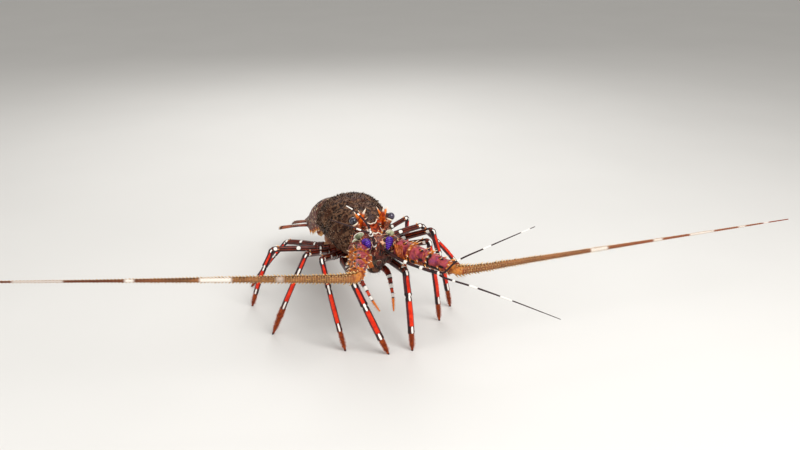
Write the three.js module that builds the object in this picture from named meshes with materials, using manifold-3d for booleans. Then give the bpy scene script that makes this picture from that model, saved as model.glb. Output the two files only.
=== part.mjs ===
// Spiny lobster, life size, standing still on its ten legs.
// Millimetres, +Z up, head towards -Y, the animal's left side at +X, the floor at Z = 0.
import * as THREE from 'three';
import { mergeVertices } from 'three/addons/utils/BufferGeometryUtils.js';
import Module from 'manifold-3d';

const wasm = await Module();
wasm.setup();

const point = (x, y, z) => new THREE.Vector3(x, y, z);
const UP = point(0, 0, 1);
const LEFT = 1;
const RIGHT = -1;

// Every piece keeps this gap to the one it grows from.
const GAP = 0.3;

// The carapace, as stations from its front rim to its rear rim: y, top of the back, half width.
const BACK = [
  [-50, 96.5, 17], [-38, 99.5, 21], [-24, 102.5, 24.8], [-8, 104, 27],
  [8, 102, 27.3], [20, 97.5, 26], [32, 91, 23.5],
];
const BACK_RINGS = 18;
const WIDEST_AT = 0.42; // share of the height at which the shell is widest
const TUCK = 0.3; // share of the half width lost at the lower edge
const BELLY = 58.4; // height of the shell's flat underside at the rear rim
const BELLY_SLOPE = 0.095; // its rise towards the head
const GROOVE = 0.045; // depth of the neck groove, as a share of the section
const GROOVE_AT = 0.42;

// Rows of spines along each side of the carapace: degrees up from its widest line, first and last
// share of the length, count, length of the first and last spine.
const SPINE_ROWS = [
  [76, 0.14, 0.94, 6, 5.6, 2.6], [58, 0.04, 0.97, 7, 6, 2.6], [40, 0.1, 0.92, 6, 4.8, 2.4],
  [22, 0.03, 0.97, 6, 6.4, 2.4], [3, 0.1, 0.92, 5, 4.6, 2.2], [-28, 0.08, 0.9, 4, 4, 2],
];
const SPINE_SHARE = 0.2; // radius of a spine's root as a share of its length
const SPINE_LEAN = 0.42; // how far a spine leans towards the head

// The head in front of the carapace, from its rear face forward: y, half width, top.
const HEAD = [[-50.3, 18, 93.5], [-57, 18.5, 93.5], [-63, 16.5, 91], [-67.5, 11, 86]];
const HEAD_FLOOR = 65;
const PLATE_SLOPE = THREE.MathUtils.degToRad(23);
const PLATE_PLACE = [0, -56, 92];
const PLATE_SPINES = [[4.4, -6.2, 4.6, 1], [2.2, -4, 2.6, 0.7], [5.4, 1, 3, 0.8]]; // across, ahead, size
const RASP = { place: [9, -65.2, 84.4], size: [2.4, 3, 5.6], tilt: 0.35 }; // rubbed by the antenna stems

// The horns over the eyes.
const HORN_ROOT = [9.8, -48.2, 96.8];
const HORN_LINE = [-2, -10, 13.4];
const HORN_LENGTH = 17;
const HORN_RADIUS = 3.3;
// Two prongs of each horn guard the eye: root share along the horn, then root to tip.
const HORN_PRONGS = [[0.24, [5.6, 0.6, 7.4]], [0.17, [6.6, 1.2, -1.8]]];

// The eyes on their stalks.
const STALK_ROOT = [10.6, -55.4, 92.8];
const STALK_END = [14.6, -53.6, 99.6];
const STALK_RADIUS = 2;
const EYE_RADIUS = 3.3;
const EYE_DEPTH = 5;

// The antennules: root on the head, end of the three-jointed stem, then two lashes each.
const ANTENNULE_ROOT = [2.9, -66, 80.2];
const ANTENNULE_COLLAR = 4;
const ANTENNULES = {
  left: {
    side: LEFT, stem: [36.1, -108, 71.6],
    lower: [[60.5, -118, 60.6], [86.5, -124, 48.8], [133, -130, 25]],
    upper: [[47.5, -114, 82.5], [68.5, -122, 94.3], [105.5, -128, 108.5]],
  },
  right: {
    side: RIGHT, stem: [-17.3, -99.5, 110.5],
    lower: [[-25, -106, 115], [-35, -100, 118.5], [-45, -92, 121]],
    upper: [[-22, -101, 121], [-27.5, -95, 127], [-33, -91, 130.6]],
  },
};
const STEM_RADIUS = 2;
const LASH_RADIUS = 0.8;

// The antennae: root centre on the head, end of the three-jointed stem, then the long lash.
const ANTENNAE = {
  left: {
    side: LEFT, root: [13.5, -61, 79], end: [46.9, -106.9, 74],
    lash: [[60, -113, 73.5], [110, -112, 73], [240, -111, 72.5], [370, -110, 72]],
  },
  right: {
    side: RIGHT, root: [-13.5, -61, 79], end: [-32.3, -114.7, 84.3],
    lash: [[-45, -118, 84.8], [-100, -103, 86.5], [-215, -72, 90], [-335, -40, 94]],
  },
};
const STEM_JOINTS = [0.12, 0.36, 0.66, 1]; // share of the stem's length
const STEM_RADII = [8.6, 8, 6.6, 5.4];
const STEM_SPINES = 6; // round the far rim of each stem joint
const LASH_SPINES = 8; // in each of the two rows along a lash
const LASH_RADII = [3.8, 3.8, 3.2, 2.25, 0.95, 0.45]; // foot, bend, then the points of the lash
const LASH_SPINY = [0.3, 0.74]; // the part of a lash that carries spines

// The last pair of mouth legs, folded forward under the head.
const MOUTH_LEGS = {
  left: [
    [4.5, -26, 58], [6, -35, 56], [13, -52, 52], [13, -62, 42], [11.5, -70, 36.5], [11, -73, 26.5],
  ],
  right: [
    [-4.5, -26, 58], [-6, -35, 56], [-12, -52, 52.5], [-9.5, -64, 45.5], [-7.5, -70, 40], [-1.5, -74, 29],
  ],
};
const MOUTH_LEG_RADII = [2.8, 2.8, 2.5, 1.6, 1.25, 0.6];

// The walking legs. Hips run back along the breast plate; each leg has its foot on the floor, the
// lengths of its thigh and shank, its thickness and how far its knee leans out of the upright.
const HIP_FRONT = [11, -20, 57];
const HIP_STEP = [2.6, 9.5, -1];
const HIP_FAN = [-35, -20, 0, 15, 30];
const COXA_LENGTH = 6;
const KNEE_BEND = 7;
const LEGS = [
  { pair: 1, side: RIGHT, foot: [-1, -94], thigh: 60, shank: 65, girth: 1, lean: 30 },
  { pair: 2, side: RIGHT, foot: [-32, -77], thigh: 62, shank: 78, girth: 0.8, lean: 18 },
  { pair: 3, side: RIGHT, foot: [-81, -30], thigh: 61, shank: 81, girth: 0.78, lean: -28 },
  { pair: 4, side: RIGHT, foot: [-87, 27], thigh: 50, shank: 60, girth: 0.76, lean: -10 },
  { pair: 5, side: RIGHT, foot: [-80, 66], thigh: 48, shank: 55, girth: 0.68, lean: 38 },
  { pair: 1, side: LEFT, foot: [19, -95], thigh: 60, shank: 65, girth: 1, lean: -2 },
  { pair: 2, side: LEFT, foot: [59, -55], thigh: 62, shank: 78, girth: 0.8, lean: 12 },
  { pair: 3, side: LEFT, foot: [78, -34], thigh: 61, shank: 81, girth: 0.78, lean: 16 },
  { pair: 4, side: LEFT, foot: [118, 25], thigh: 58, shank: 70, girth: 0.76, lean: -18 },
  { pair: 5, side: LEFT, foot: [64, 46], thigh: 50, shank: 58, girth: 0.68, lean: 6 },
];
const LEG_SIDES = 8;
// Half width and half height of a leg of full thickness at each of its points but the foot.
const LEG_SIZES = [
  [3.6, 3.6], [3.6, 4], [3.2, 3.7], [2.8, 3.6], [2.7, 3.4], [2.8, 3.2], [2.7, 3.1],
  [2.9, 3.2], [2.5, 2.7], [2.8, 3], [2.6, 2.7], [2.3, 2.4],
];
const FOOT_RADIUS = 0.9;
const KNEE_SPINE = 4.2;

// The tail: at each joint the slope below level, half width, height of the back over the axis
// and depth of the side flaps under it; then the lengths of the six rings.
const TAIL_START = [0, 32.3, 74];
const TAIL_SLOPES = [0, 14, 24, 30, 32, 28, 18];
const TAIL_WIDTHS = [21.5, 21.5, 21, 20, 18.5, 16.5, 14.5];
const TAIL_BACKS = [14.5, 14, 13.4, 12.4, 11.2, 9.8, 8.2];
const TAIL_FLAPS = [13, 14, 14, 13.4, 12.4, 10.8, 8];
const TAIL_LENGTHS = [10, 15, 15, 15, 15, 17];
const FLAP_SPINE = 5.5;
const SWIMMERET = { length: 11, width: 4.2, thickness: 0.8 };

// The five blades of the tail fan: place across the last ring, drop, splay, length, half widths.
const FAN = [
  { name: 'telson', across: 0, drop: 0, splay: 0, length: 36, root: 6.5, tip: 9.5 },
  { name: 'uropod_inner', across: 7.5, drop: 2.7, splay: 17, length: 36, root: 2.6, tip: 8 },
  { name: 'uropod_outer', across: 10.5, drop: 5.8, splay: 40, length: 38, root: 2.4, tip: 9 },
];
const BLADE_THICKNESS = 1.4;
const BLADE_RIB = 0.4;
const BLADE_RIBS = 5;

const COLOURS = {
  shell: [0x35211c, 0.75], horn: [0xd8561c, 0.5], eye: [0x2b2533, 0.15], stalk: [0x7a3a28, 0.6],
  plate: [0x8e3019, 0.55], stem: [0xb8486a, 0.55], lash: [0x9a6a3c, 0.7], antennule: [0x2a1214, 0.5],
  thigh: [0x4a1616, 0.55], shank: [0xd93a16, 0.45], breast: [0xa8765a, 0.65], tail: [0x5a2c1e, 0.6],
  fan: [0x7a3420, 0.6],
};

const lobster = new THREE.Group();

function addNode(name, look, geometry) {
  const [color, roughness] = COLOURS[look];
  const mesh = new THREE.Mesh(geometry, new THREE.MeshStandardMaterial({ color, roughness, metalness: 0 }));
  mesh.name = name;
  lobster.add(mesh);
  return mesh;
}

// A closed surface through rings of points; a last ring of one point makes a tip.
function loft(rings) {
  const positions = rings.flat().flatMap((p) => p.toArray());
  const faces = [];
  let start = 0;
  for (let i = 0; i + 1 < rings.length; i += 1) {
    const count = rings[i].length;
    const next = start + count;
    for (let j = 0; j < count; j += 1) {
      const k = (j + 1) % count;
      if (rings[i + 1].length === 1) {
        faces.push(start + j, start + k, next);
      } else {
        faces.push(start + j, start + k, next + k, start + j, next + k, next + j);
      }
    }
    start = next;
  }
  closeRing(faces, rings[0], 0, false);
  closeRing(faces, rings.at(-1), start, true);
  const geometry = new THREE.BufferGeometry();
  geometry.setAttribute('position', new THREE.Float32BufferAttribute(positions, 3));
  geometry.setIndex(faces);
  if (signedVolume(geometry) < 0) {
    geometry.setIndex(faces.reverse());
  }
  return geometry;
}

// A flat end over a ring of points, which may be hollowed in places.
function closeRing(faces, corners, start, atEnd) {
  if (corners.length < 3) {
    return;
  }
  const normal = point();
  corners.forEach((p, i) => {
    normal.add(p.clone().sub(corners[0]).cross(corners[(i + 1) % corners.length].clone().sub(corners[0])));
  });
  const along = corners[1].clone().sub(corners[0]).normalize();
  const aside = normal.normalize().clone().cross(along);
  const outline = corners.map((p) => new THREE.Vector2(p.dot(along), p.dot(aside)));
  for (const [i, j, k] of THREE.ShapeUtils.triangulateShape(outline, [])) {
    faces.push(start + i, start + (atEnd ? j : k), start + (atEnd ? k : j));
  }
}

function signedVolume(geometry) {
  const p = geometry.getAttribute('position');
  const corners = geometry.getIndex().array;
  const [a, b, c] = [point(), point(), point()];
  let sum = 0;
  for (let i = 0; i < corners.length; i += 3) {
    a.fromBufferAttribute(p, corners[i]);
    b.fromBufferAttribute(p, corners[i + 1]);
    c.fromBufferAttribute(p, corners[i + 2]);
    sum += a.dot(b.cross(c));
  }
  return sum / 6;
}

function ring(centre, across, upward, width, height, sides) {
  return Array.from({ length: sides }, (_, i) => {
    const angle = ((i + 0.5) / sides) * 2 * Math.PI;
    return centre.clone()
      .addScaledVector(across, Math.cos(angle) * width)
      .addScaledVector(upward, Math.sin(angle) * height);
  });
}

// A rounded rod through the points, with a half width across and a half height at each of them.
// Only the stretch between two of the points is made, so that one curve can serve several pieces.
function rod(points, sizes, options) {
  const { across, from = 0, to = points.length - 1, steps = 3, sides = 8, tip = false } = options;
  const { startGap = 0, endGap = 0, onFloor = false } = options;
  const curve = new THREE.CatmullRomCurve3(points, false, 'centripetal');
  const rings = [];
  for (let i = from * steps; i <= to * steps; i += 1) {
    const place = i / steps;
    const low = Math.min(Math.floor(place), sizes.length - 2);
    const share = place - low;
    const tangent = curve.getTangent(place / (points.length - 1));
    const centre = curve.getPoint(place / (points.length - 1));
    const [width, height] = [0, 1].map((n) => THREE.MathUtils.lerp(sizes[low][n], sizes[low + 1][n], share));
    if (i === from * steps) {
      centre.addScaledVector(tangent, startGap);
    }
    if (i === to * steps) {
      centre.addScaledVector(tangent, -endGap);
      if (onFloor) {
        tangent.set(0, 0, -1);
        centre.z = 0;
      }
      if (tip) {
        rings.push([centre]);
        break;
      }
    }
    const upward = across.clone().cross(tangent).normalize();
    const sideways = tangent.clone().cross(upward).normalize();
    rings.push(ring(centre, sideways, upward, width, height, sides));
  }
  return loft(rings);
}

const round = (radii) => radii.map((r) => [r, r]);

// A small seeded generator, so that the spines vary the same way each time.
let seed = 20417;
function vary(amount) {
  seed = (seed * 16807) % 2147483647;
  return 1 + amount * ((seed / 2147483647) * 2 - 1);
}

// A curved spine: five-sided, its root sunk into what it grows from, its tip bent towards lean.
function spine(root, outward, lean, length, radius, sides = 5) {
  const line = outward.clone().normalize();
  const bent = line.clone().add(lean).normalize();
  const across = point(line.z, line.x, line.y).cross(line).normalize();
  const upward = line.clone().cross(across);
  const middle = root.clone().addScaledVector(line, length * 0.4);
  return solid(loft([
    ring(root.clone().addScaledVector(line, -radius), across, upward, radius, radius, sides),
    ring(middle, across, upward, radius * 0.62, radius * 0.62, sides),
    [middle.clone().addScaledVector(bent, length * 0.6)],
  ]));
}

function solid(geometry) {
  geometry.deleteAttribute('normal');
  geometry.deleteAttribute('uv');
  const welded = mergeVertices(geometry);
  return new wasm.Manifold(new wasm.Mesh({
    numProp: 3,
    vertProperties: new Float32Array(welded.getAttribute('position').array),
    triVerts: new Uint32Array(welded.getIndex().array),
  }));
}

// Joins closed pieces into one body and keeps its largest closed surface.
function fuse(pieces) {
  const whole = pieces.reduce((sum, piece) => sum.add(piece));
  const [body] = whole.decompose().sort((a, b) => b.volume() - a.volume());
  return body;
}

function surfaceOf(body) {
  const mesh = body.getMesh();
  const geometry = new THREE.BufferGeometry();
  geometry.setAttribute('position', new THREE.BufferAttribute(mesh.vertProperties, 3));
  geometry.setIndex(new THREE.BufferAttribute(mesh.triVerts, 1));
  return geometry;
}

const bellyAt = (y) => BELLY + BELLY_SLOPE * (BACK.at(-1)[0] - y);
const backLine = new THREE.CatmullRomCurve3(BACK.map(([y, top, half]) => point(half, y, top)));

// A point of the carapace: share of its length and an angle, 0 at the left side and a right angle
// on the back; below the widest line the side tucks in towards the flat underside.
function shellPoint(share, angle) {
  const { x: half, y, z: top } = backLine.getPoint(share);
  const belly = bellyAt(y);
  const middle = THREE.MathUtils.lerp(belly, top, WIDEST_AT);
  const [over, aside] = [Math.sin(angle), Math.cos(angle)];
  const groove = 1 - GROOVE * Math.exp(-(((share - GROOVE_AT - 0.1 * aside ** 2) / 0.045) ** 2));
  if (over >= 0) {
    const x = Math.sign(aside) * Math.abs(aside) ** 0.92 * half;
    return point(x * groove, y, middle + (top - middle) * over * groove);
  }
  const x = Math.sign(aside) * half * (1 - TUCK * (-over) ** 1.7);
  return point(x * groove, y, THREE.MathUtils.lerp(middle, belly, -over));
}

function shellOutward(share, angle) {
  const ahead = shellPoint(share + 0.01, angle).sub(shellPoint(share - 0.01, angle));
  const around = shellPoint(share, angle + 0.02).sub(shellPoint(share, angle - 0.02));
  return around.cross(ahead).normalize();
}

// One cross section of the carapace: over the back from left to right, then down to the lower edge.
function shellSection(share) {
  const over = Array.from({ length: 15 }, (_, i) => shellPoint(share, (i / 14) * Math.PI));
  const drops = [0.35, 0.7, 1].map((drop) => Math.asin(drop) - 1e-4);
  const right = drops.map((drop) => shellPoint(share, Math.PI + drop));
  const left = drops.map((drop) => shellPoint(share, -drop)).reverse();
  return [...over, ...right, ...left];
}

function shellSpines() {
  return SPINE_ROWS.flatMap(([degrees, first, last, count, long, short]) => (
    [LEFT, RIGHT].flatMap((side) => Array.from({ length: count }, (_, i) => {
      const share = THREE.MathUtils.lerp(first, last, i / (count - 1));
      const upright = THREE.MathUtils.degToRad(degrees + 4 * (vary(1) - 1));
      const angle = side === LEFT ? upright : Math.PI - upright;
      const length = THREE.MathUtils.lerp(long, short, i / (count - 1)) * vary(0.15);
      const root = shellPoint(share, angle);
      const outward = shellOutward(share, angle).add(point(0, -SPINE_LEAN, 0));
      return spine(root, outward, point(0, -SPINE_LEAN, 0.1), length, length * SPINE_SHARE);
    }))
  ));
}

function makeCarapace() {
  const sections = Array.from({ length: BACK_RINGS }, (_, i) => shellSection(i / (BACK_RINGS - 1)));
  const shell = solid(loft(sections));
  const bosses = [LEFT, RIGHT].map((side) => {
    const { root, line } = hornAxis(side);
    const path = [root.clone().addScaledVector(line, -7), root];
    return solid(rod(path, round([HORN_RADIUS + 1, HORN_RADIUS]), { across: UP, steps: 1, sides: 10 }));
  });
  addNode('carapace', 'shell', surfaceOf(fuse([shell, ...bosses, ...shellSpines()])));
}

function hornAxis(side) {
  const root = point(side * HORN_ROOT[0], HORN_ROOT[1], HORN_ROOT[2]);
  const line = point(side * HORN_LINE[0], HORN_LINE[1], HORN_LINE[2]).normalize();
  return { root, line };
}

function makeHorn(name, side) {
  const { root, line } = hornAxis(side);
  const at = (share, lift) => root.clone().addScaledVector(line, share * HORN_LENGTH).add(point(0, 0, lift));
  const path = [at(0, 0), at(0.35, 0), at(0.7, 0.3), at(1, 1.4)];
  const sizes = round([HORN_RADIUS, 2.5, 1.5, 0.4]);
  const horn = solid(rod(path, sizes, { across: UP, startGap: GAP, steps: 2, sides: 10, tip: true }));
  const prongs = HORN_PRONGS.map(([share, [x, y, z]]) => {
    const outward = point(side * x, y, z);
    return spine(at(share, 0).addScaledVector(outward, 0.2), outward, UP.clone().multiplyScalar(0.15),
      outward.length(), 1.1);
  });
  addNode(name, 'horn', surfaceOf(fuse([horn, ...prongs])));
}

function stalkAxis(side) {
  const root = point(side * STALK_ROOT[0], STALK_ROOT[1], STALK_ROOT[2]);
  const end = point(side * STALK_END[0], STALK_END[1], STALK_END[2]);
  return { root, end, line: end.clone().sub(root).normalize() };
}

function stemAxis({ root, end }) {
  const start = point(...root);
  const finish = point(...end);
  const line = finish.clone().sub(start);
  return { start, line, length: line.length(), direction: line.clone().normalize() };
}

// The head carries flat-faced collars for the eyestalks, antennules and antennae.
function makeHead() {
  const sections = HEAD.map(([y, half, top]) => {
    const middle = THREE.MathUtils.lerp(HEAD_FLOOR, top, 0.55);
    const over = Array.from({ length: 9 }, (_, i) => {
      const angle = (i / 8) * Math.PI;
      return point(
        Math.sign(Math.cos(angle)) * Math.abs(Math.cos(angle)) ** 0.7 * half,
        y, middle + (top - middle) * Math.sin(angle) ** 0.8,
      );
    });
    const under = (side) => [0.5, 1].map((drop) => point(
      side * half * (1 - 0.35 * drop ** 2), y, THREE.MathUtils.lerp(middle, HEAD_FLOOR, drop),
    ));
    return [...over, ...under(RIGHT), ...under(LEFT).reverse()];
  });
  const pieces = [solid(loft(sections))];
  for (const side of [LEFT, RIGHT]) {
    const { root, line } = stalkAxis(side);
    const inner = root.clone().addScaledVector(line, -6);
    pieces.push(solid(rod([inner, root], round([3, 2.4]), { across: UP, steps: 1 })));
  }
  for (const { side, stem } of Object.values(ANTENNULES)) {
    const { root, direction } = antennuleAxis(side, stem);
    const inner = root.clone().addScaledVector(direction, -6);
    pieces.push(solid(rod([inner, root], round([2.8, 2.5]), { across: UP, steps: 1 })));
  }
  for (const antenna of Object.values(ANTENNAE)) {
    const { start, line, direction } = stemAxis(antenna);
    const face = start.clone().addScaledVector(line, STEM_JOINTS[0]);
    const inner = face.clone().addScaledVector(direction, -12);
    pieces.push(solid(rod([inner, face], round([8.4, STEM_RADII[0]]), { across: UP, steps: 1, sides: 12 })));
  }
  for (const side of [LEFT, RIGHT]) {
    const rasp = new THREE.SphereGeometry(1, 10, 6);
    rasp.scale(...RASP.size);
    rasp.rotateY(side * RASP.tilt);
    rasp.translate(side * RASP.place[0], RASP.place[1], RASP.place[2]);
    pieces.push(solid(rasp));
  }
  const seat = new THREE.BoxGeometry(13.4, 30, 12);
  seat.translate(0, 0, 6);
  seat.rotateX(PLATE_SLOPE);
  seat.translate(...PLATE_PLACE);
  addNode('head', 'plate', surfaceOf(fuse([fuse(pieces).subtract(solid(seat))])));
}

// The antennular plate lies in its seat between the horns, with its front rim cut in a W.
function makePlate() {
  const outline = new THREE.Shape();
  outline.moveTo(-5.6, 5);
  outline.lineTo(-6.2, -4.5);
  outline.lineTo(-4.4, -7.5);
  outline.lineTo(-2.2, -5);
  outline.lineTo(0, -6.4);
  outline.lineTo(2.2, -5);
  outline.lineTo(4.4, -7.5);
  outline.lineTo(6.2, -4.5);
  outline.lineTo(5.6, 5);
  outline.closePath();
  const plate = new THREE.ExtrudeGeometry(outline, { depth: 2.6, bevelEnabled: false });
  plate.translate(0, 0, GAP);
  const spines = PLATE_SPINES.flatMap(([x, y, length, radius]) => [LEFT, RIGHT].map((side) => (
    spine(point(side * x, y, 2.6), point(side * 0.2, -0.5, 1), point(0, -0.2, 0.1), length, radius)
  )));
  const whole = surfaceOf(fuse([solid(plate), ...spines]));
  whole.rotateX(PLATE_SLOPE);
  whole.translate(...PLATE_PLACE);
  addNode('antennular_plate', 'plate', whole);
}

function makeEye(label, side) {
  const { root, end, line } = stalkAxis(side);
  const stalk = rod([root, end], round([STALK_RADIUS, STALK_RADIUS + 0.4]), {
    across: UP, startGap: GAP, steps: 2, sides: 10,
  });
  addNode(`eyestalk_${label}`, 'stalk', stalk);
  const profile = [new THREE.Vector2(0, 0)];
  for (let i = 0; i <= 6; i += 1) {
    const angle = THREE.MathUtils.lerp(-35, 90, i / 6) * THREE.MathUtils.DEG2RAD;
    profile.push(new THREE.Vector2(
      i === 6 ? 0 : EYE_RADIUS * Math.cos(angle),
      (EYE_DEPTH / 1.57) * (Math.sin(angle) + 0.57),
    ));
  }
  const eye = addNode(`eye_${label}`, 'eye', surfaceOf(solid(new THREE.LatheGeometry(profile, 10))));
  eye.position.copy(end).addScaledVector(line, GAP);
  eye.quaternion.setFromUnitVectors(point(0, 1, 0), line);
}

function antennuleAxis(side, stem) {
  const root = point(side * ANTENNULE_ROOT[0], ANTENNULE_ROOT[1], ANTENNULE_ROOT[2]);
  const end = point(...stem);
  const direction = end.clone().sub(root).normalize();
  root.addScaledVector(direction, ANTENNULE_COLLAR);
  return { root, end, direction };
}

// A three-jointed stem ending in a flat face on which the two lashes stand side by side.
function makeAntennule(label, { side, stem, lower, upper }) {
  const { root, end, direction } = antennuleAxis(side, stem);
  const at = (share) => root.clone().lerp(end, share);
  const path = [0, 0.4, 0.42, 0.68, 0.7, 1].map(at);
  const radii = round([STEM_RADIUS, STEM_RADIUS, 1.6, 1.8, 1.5, STEM_RADIUS]);
  addNode(`antennule_${label}_stem`, 'antennule', rod(path, radii, { across: UP, startGap: GAP, steps: 1 }));
  const spread = UP.clone().addScaledVector(direction, -UP.dot(direction)).normalize();
  for (const [name, lash, sign] of [['upper', upper, 1], ['lower', lower, -1]]) {
    const foot = end.clone().addScaledVector(spread, sign * 1.05).addScaledVector(direction, GAP);
    const bend = foot.clone().addScaledVector(direction, 3).addScaledVector(spread, sign * 0.8);
    const points = [foot, bend, ...lash.map((p) => point(...p))];
    const sizes = round([LASH_RADIUS, LASH_RADIUS, 0.7, 0.55, 0.3]);
    const across = point(1, 0, 0);
    addNode(`antennule_${label}_${name}`, 'antennule', rod(points, sizes, { across, sides: 6, steps: 3 }));
  }
}

// The heavy three-jointed stem of an antenna and the long stiff lash that swings from its end.
function makeAntenna(label, antenna) {
  const { start, line, length, direction } = stemAxis(antenna);
  for (let joint = 0; joint < 3; joint += 1) {
    const from = start.clone().addScaledVector(line, STEM_JOINTS[joint] + (GAP / length));
    const to = start.clone().addScaledVector(line, STEM_JOINTS[joint + 1]);
    const path = [0, 0.3, 0.7, 1].map((share) => from.clone().lerp(to, share));
    const [near, far] = [STEM_RADII[joint], STEM_RADII[joint + 1]];
    const sizes = round([near * 0.9, near * 0.97, far * 0.96, far * 1.04]);
    const joined = fuse([
      solid(rod(path, sizes, { across: UP, steps: 1, sides: 12 })),
      ...stemSpines(from.clone().lerp(to, 0.78), from.clone().lerp(to, 0.4), direction, far, near),
    ]);
    addNode(`antenna_${label}_joint_${joint + 1}`, 'stem', surfaceOf(joined));
  }
  const foot = start.clone().add(line).addScaledVector(direction, GAP);
  const bend = foot.clone().addScaledVector(direction, 5);
  const points = [foot, bend, ...antenna.lash.map((p) => point(...p))];
  const lash = solid(rod(points, round(LASH_RADII), { across: UP, sides: 10, steps: 4 }));
  addNode(`antenna_${label}_lash`, 'lash', surfaceOf(fuse([lash, ...lashSpines(points)])));
}

// A wreath of forward spines round the far rim of a joint and two on the crest behind it.
function stemSpines(rim, crest, direction, rimRadius, crestRadius) {
  const across = direction.clone().cross(UP).normalize();
  const upward = across.clone().cross(direction);
  const lean = direction.clone().multiplyScalar(0.4);
  const grow = (centre, angle, radius, length) => {
    const side = across.clone().multiplyScalar(Math.cos(angle)).addScaledVector(upward, Math.sin(angle));
    const root = centre.clone().addScaledVector(side, radius * 0.93);
    return spine(root, side.addScaledVector(direction, 0.7), lean, length, 0.8);
  };
  const wreath = Array.from({ length: STEM_SPINES }, (_, i) => {
    const angle = ((i + 0.5) / STEM_SPINES) * 2 * Math.PI;
    return grow(rim, angle, rimRadius, (0.4 + 0.26 * Math.sin(angle)) * rimRadius * vary(0.1));
  });
  return [...wreath, grow(crest, 0.9, crestRadius, 3.4), grow(crest, 2.2, crestRadius, 3.4)];
}

// Short spines in two rows, above and below, along the thick part of a lash.
function lashSpines(points) {
  const curve = new THREE.CatmullRomCurve3(points, false, 'centripetal');
  return [1, -1].flatMap((row) => Array.from({ length: LASH_SPINES }, (_, i) => {
    const place = THREE.MathUtils.lerp(...LASH_SPINY, (i + (row > 0 ? 0.5 : 0)) / LASH_SPINES);
    const knot = place * (points.length - 1);
    const low = Math.floor(knot);
    const radius = THREE.MathUtils.lerp(LASH_RADII[low], LASH_RADII[low + 1], knot - low);
    const along = curve.getTangent(place);
    const root = curve.getPoint(place).addScaledVector(UP, row * radius * 0.9);
    const outward = UP.clone().multiplyScalar(row).addScaledVector(along, 0.9);
    return spine(root, outward, along.multiplyScalar(0.4), radius * 0.8, radius * 0.24, 4);
  }));
}

function makeMouth() {
  const levels = [[HEAD_FLOOR - GAP, 6.5, 7], [60, 6, 6], [56.5, 4, 3.6]];
  const rings = levels.map(([z, width, depth]) => ring(
    point(0, -57, z), point(1, 0, 0), point(0, 1, 0), width, depth, 12,
  ));
  addNode('mouth', 'breast', loft(rings));
}

function makeMouthLeg(label, path) {
  const points = path.map((p) => point(...p));
  const across = point(1, 0, 0);
  const sizes = round(MOUTH_LEG_RADII);
  addNode(`maxilliped_${label}`, 'thigh', rod(points, sizes, { across, from: 1, startGap: GAP, steps: 2 }));
  return solid(rod(points, sizes, { across, to: 1, steps: 1 }));
}

// Works out the knee from the two lengths, then sets the points from inside the breast to the foot.
function legPath({ pair, side, foot, thigh, shank, lean }) {
  const step = pair - 1;
  const hip = point(
    side * (HIP_FRONT[0] + HIP_STEP[0] * step),
    HIP_FRONT[1] + HIP_STEP[1] * step,
    HIP_FRONT[2] + HIP_STEP[2] * step,
  );
  const toe = point(foot[0], foot[1], 0);
  const line = toe.clone().sub(hip);
  const reach = line.length();
  line.normalize();
  const near = (thigh ** 2 - shank ** 2 + reach ** 2) / (2 * reach);
  const rise = Math.sqrt(thigh ** 2 - near ** 2);
  const upright = UP.clone().addScaledVector(line, -line.z).normalize();
  const sideways = line.clone().cross(upright);
  const angle = THREE.MathUtils.degToRad(lean);
  const outward = upright.clone().multiplyScalar(Math.cos(angle)).addScaledVector(sideways, Math.sin(angle));
  const knee = hip.clone().addScaledVector(line, near).addScaledVector(outward, rise);
  const fan = THREE.MathUtils.degToRad(HIP_FAN[step]);
  const out = point(side * Math.cos(fan), Math.sin(fan), -0.1).normalize();
  const coxa = hip.clone().addScaledVector(out, COXA_LENGTH);
  const along = (a, b, share, bow) => a.clone().lerp(b, share).addScaledVector(outward, bow);
  return {
    across: sideways.clone().multiplyScalar(Math.cos(angle)).addScaledVector(upright, -Math.sin(angle)),
    points: [
      hip.clone().addScaledVector(out, -6), hip, coxa,
      along(coxa, knee, 0.5, 1), along(coxa, knee, 1 - KNEE_BEND / thigh, 0.8), knee,
      along(knee, toe, KNEE_BEND / shank, 0.6),
      along(knee, toe, 0.3, 1.6), along(knee, toe, 0.31, 1.6), along(knee, toe, 0.56, 2),
      along(knee, toe, 0.78, 1.2), along(knee, toe, 0.79, 1.2), toe,
    ],
  };
}

function makeLeg(leg) {
  const label = `${leg.side === LEFT ? 'left' : 'right'}_${leg.pair}`;
  const { across, points } = legPath(leg);
  const hipGirth = 0.2 + 0.8 * leg.girth;
  const sizes = LEG_SIZES.map((size, i) => size.map((half) => half * (i < 3 ? hipGirth : leg.girth)));
  sizes.push([FOOT_RADIUS, FOOT_RADIUS]);
  const knee = 5;
  const upper = solid(rod(points, sizes, {
    across, from: 1, to: knee, startGap: GAP, endGap: GAP / 2, steps: 2, sides: LEG_SIDES,
  }));
  const ahead = points[4].clone().sub(points[3]).normalize();
  const above = across.clone().cross(ahead).normalize();
  const crest = above.z < 0 ? above.negate() : above;
  const root = points[4].clone().addScaledVector(crest, 2.9 * leg.girth);
  const outward = crest.clone().addScaledVector(ahead, 0.9);
  const kneeSpine = spine(root, outward, ahead.multiplyScalar(0.4), KNEE_SPINE * leg.girth, leg.girth);
  addNode(`leg_${label}_upper`, 'thigh', surfaceOf(fuse([upper, kneeSpine])));
  addNode(`leg_${label}_lower`, 'shank', rod(points, sizes, {
    across, from: knee, startGap: GAP / 2, steps: 1, sides: LEG_SIDES, onFloor: true,
  }));
  return solid(rod(points, sizes, { across, to: 1, steps: 1, sides: LEG_SIDES }));
}

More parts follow.
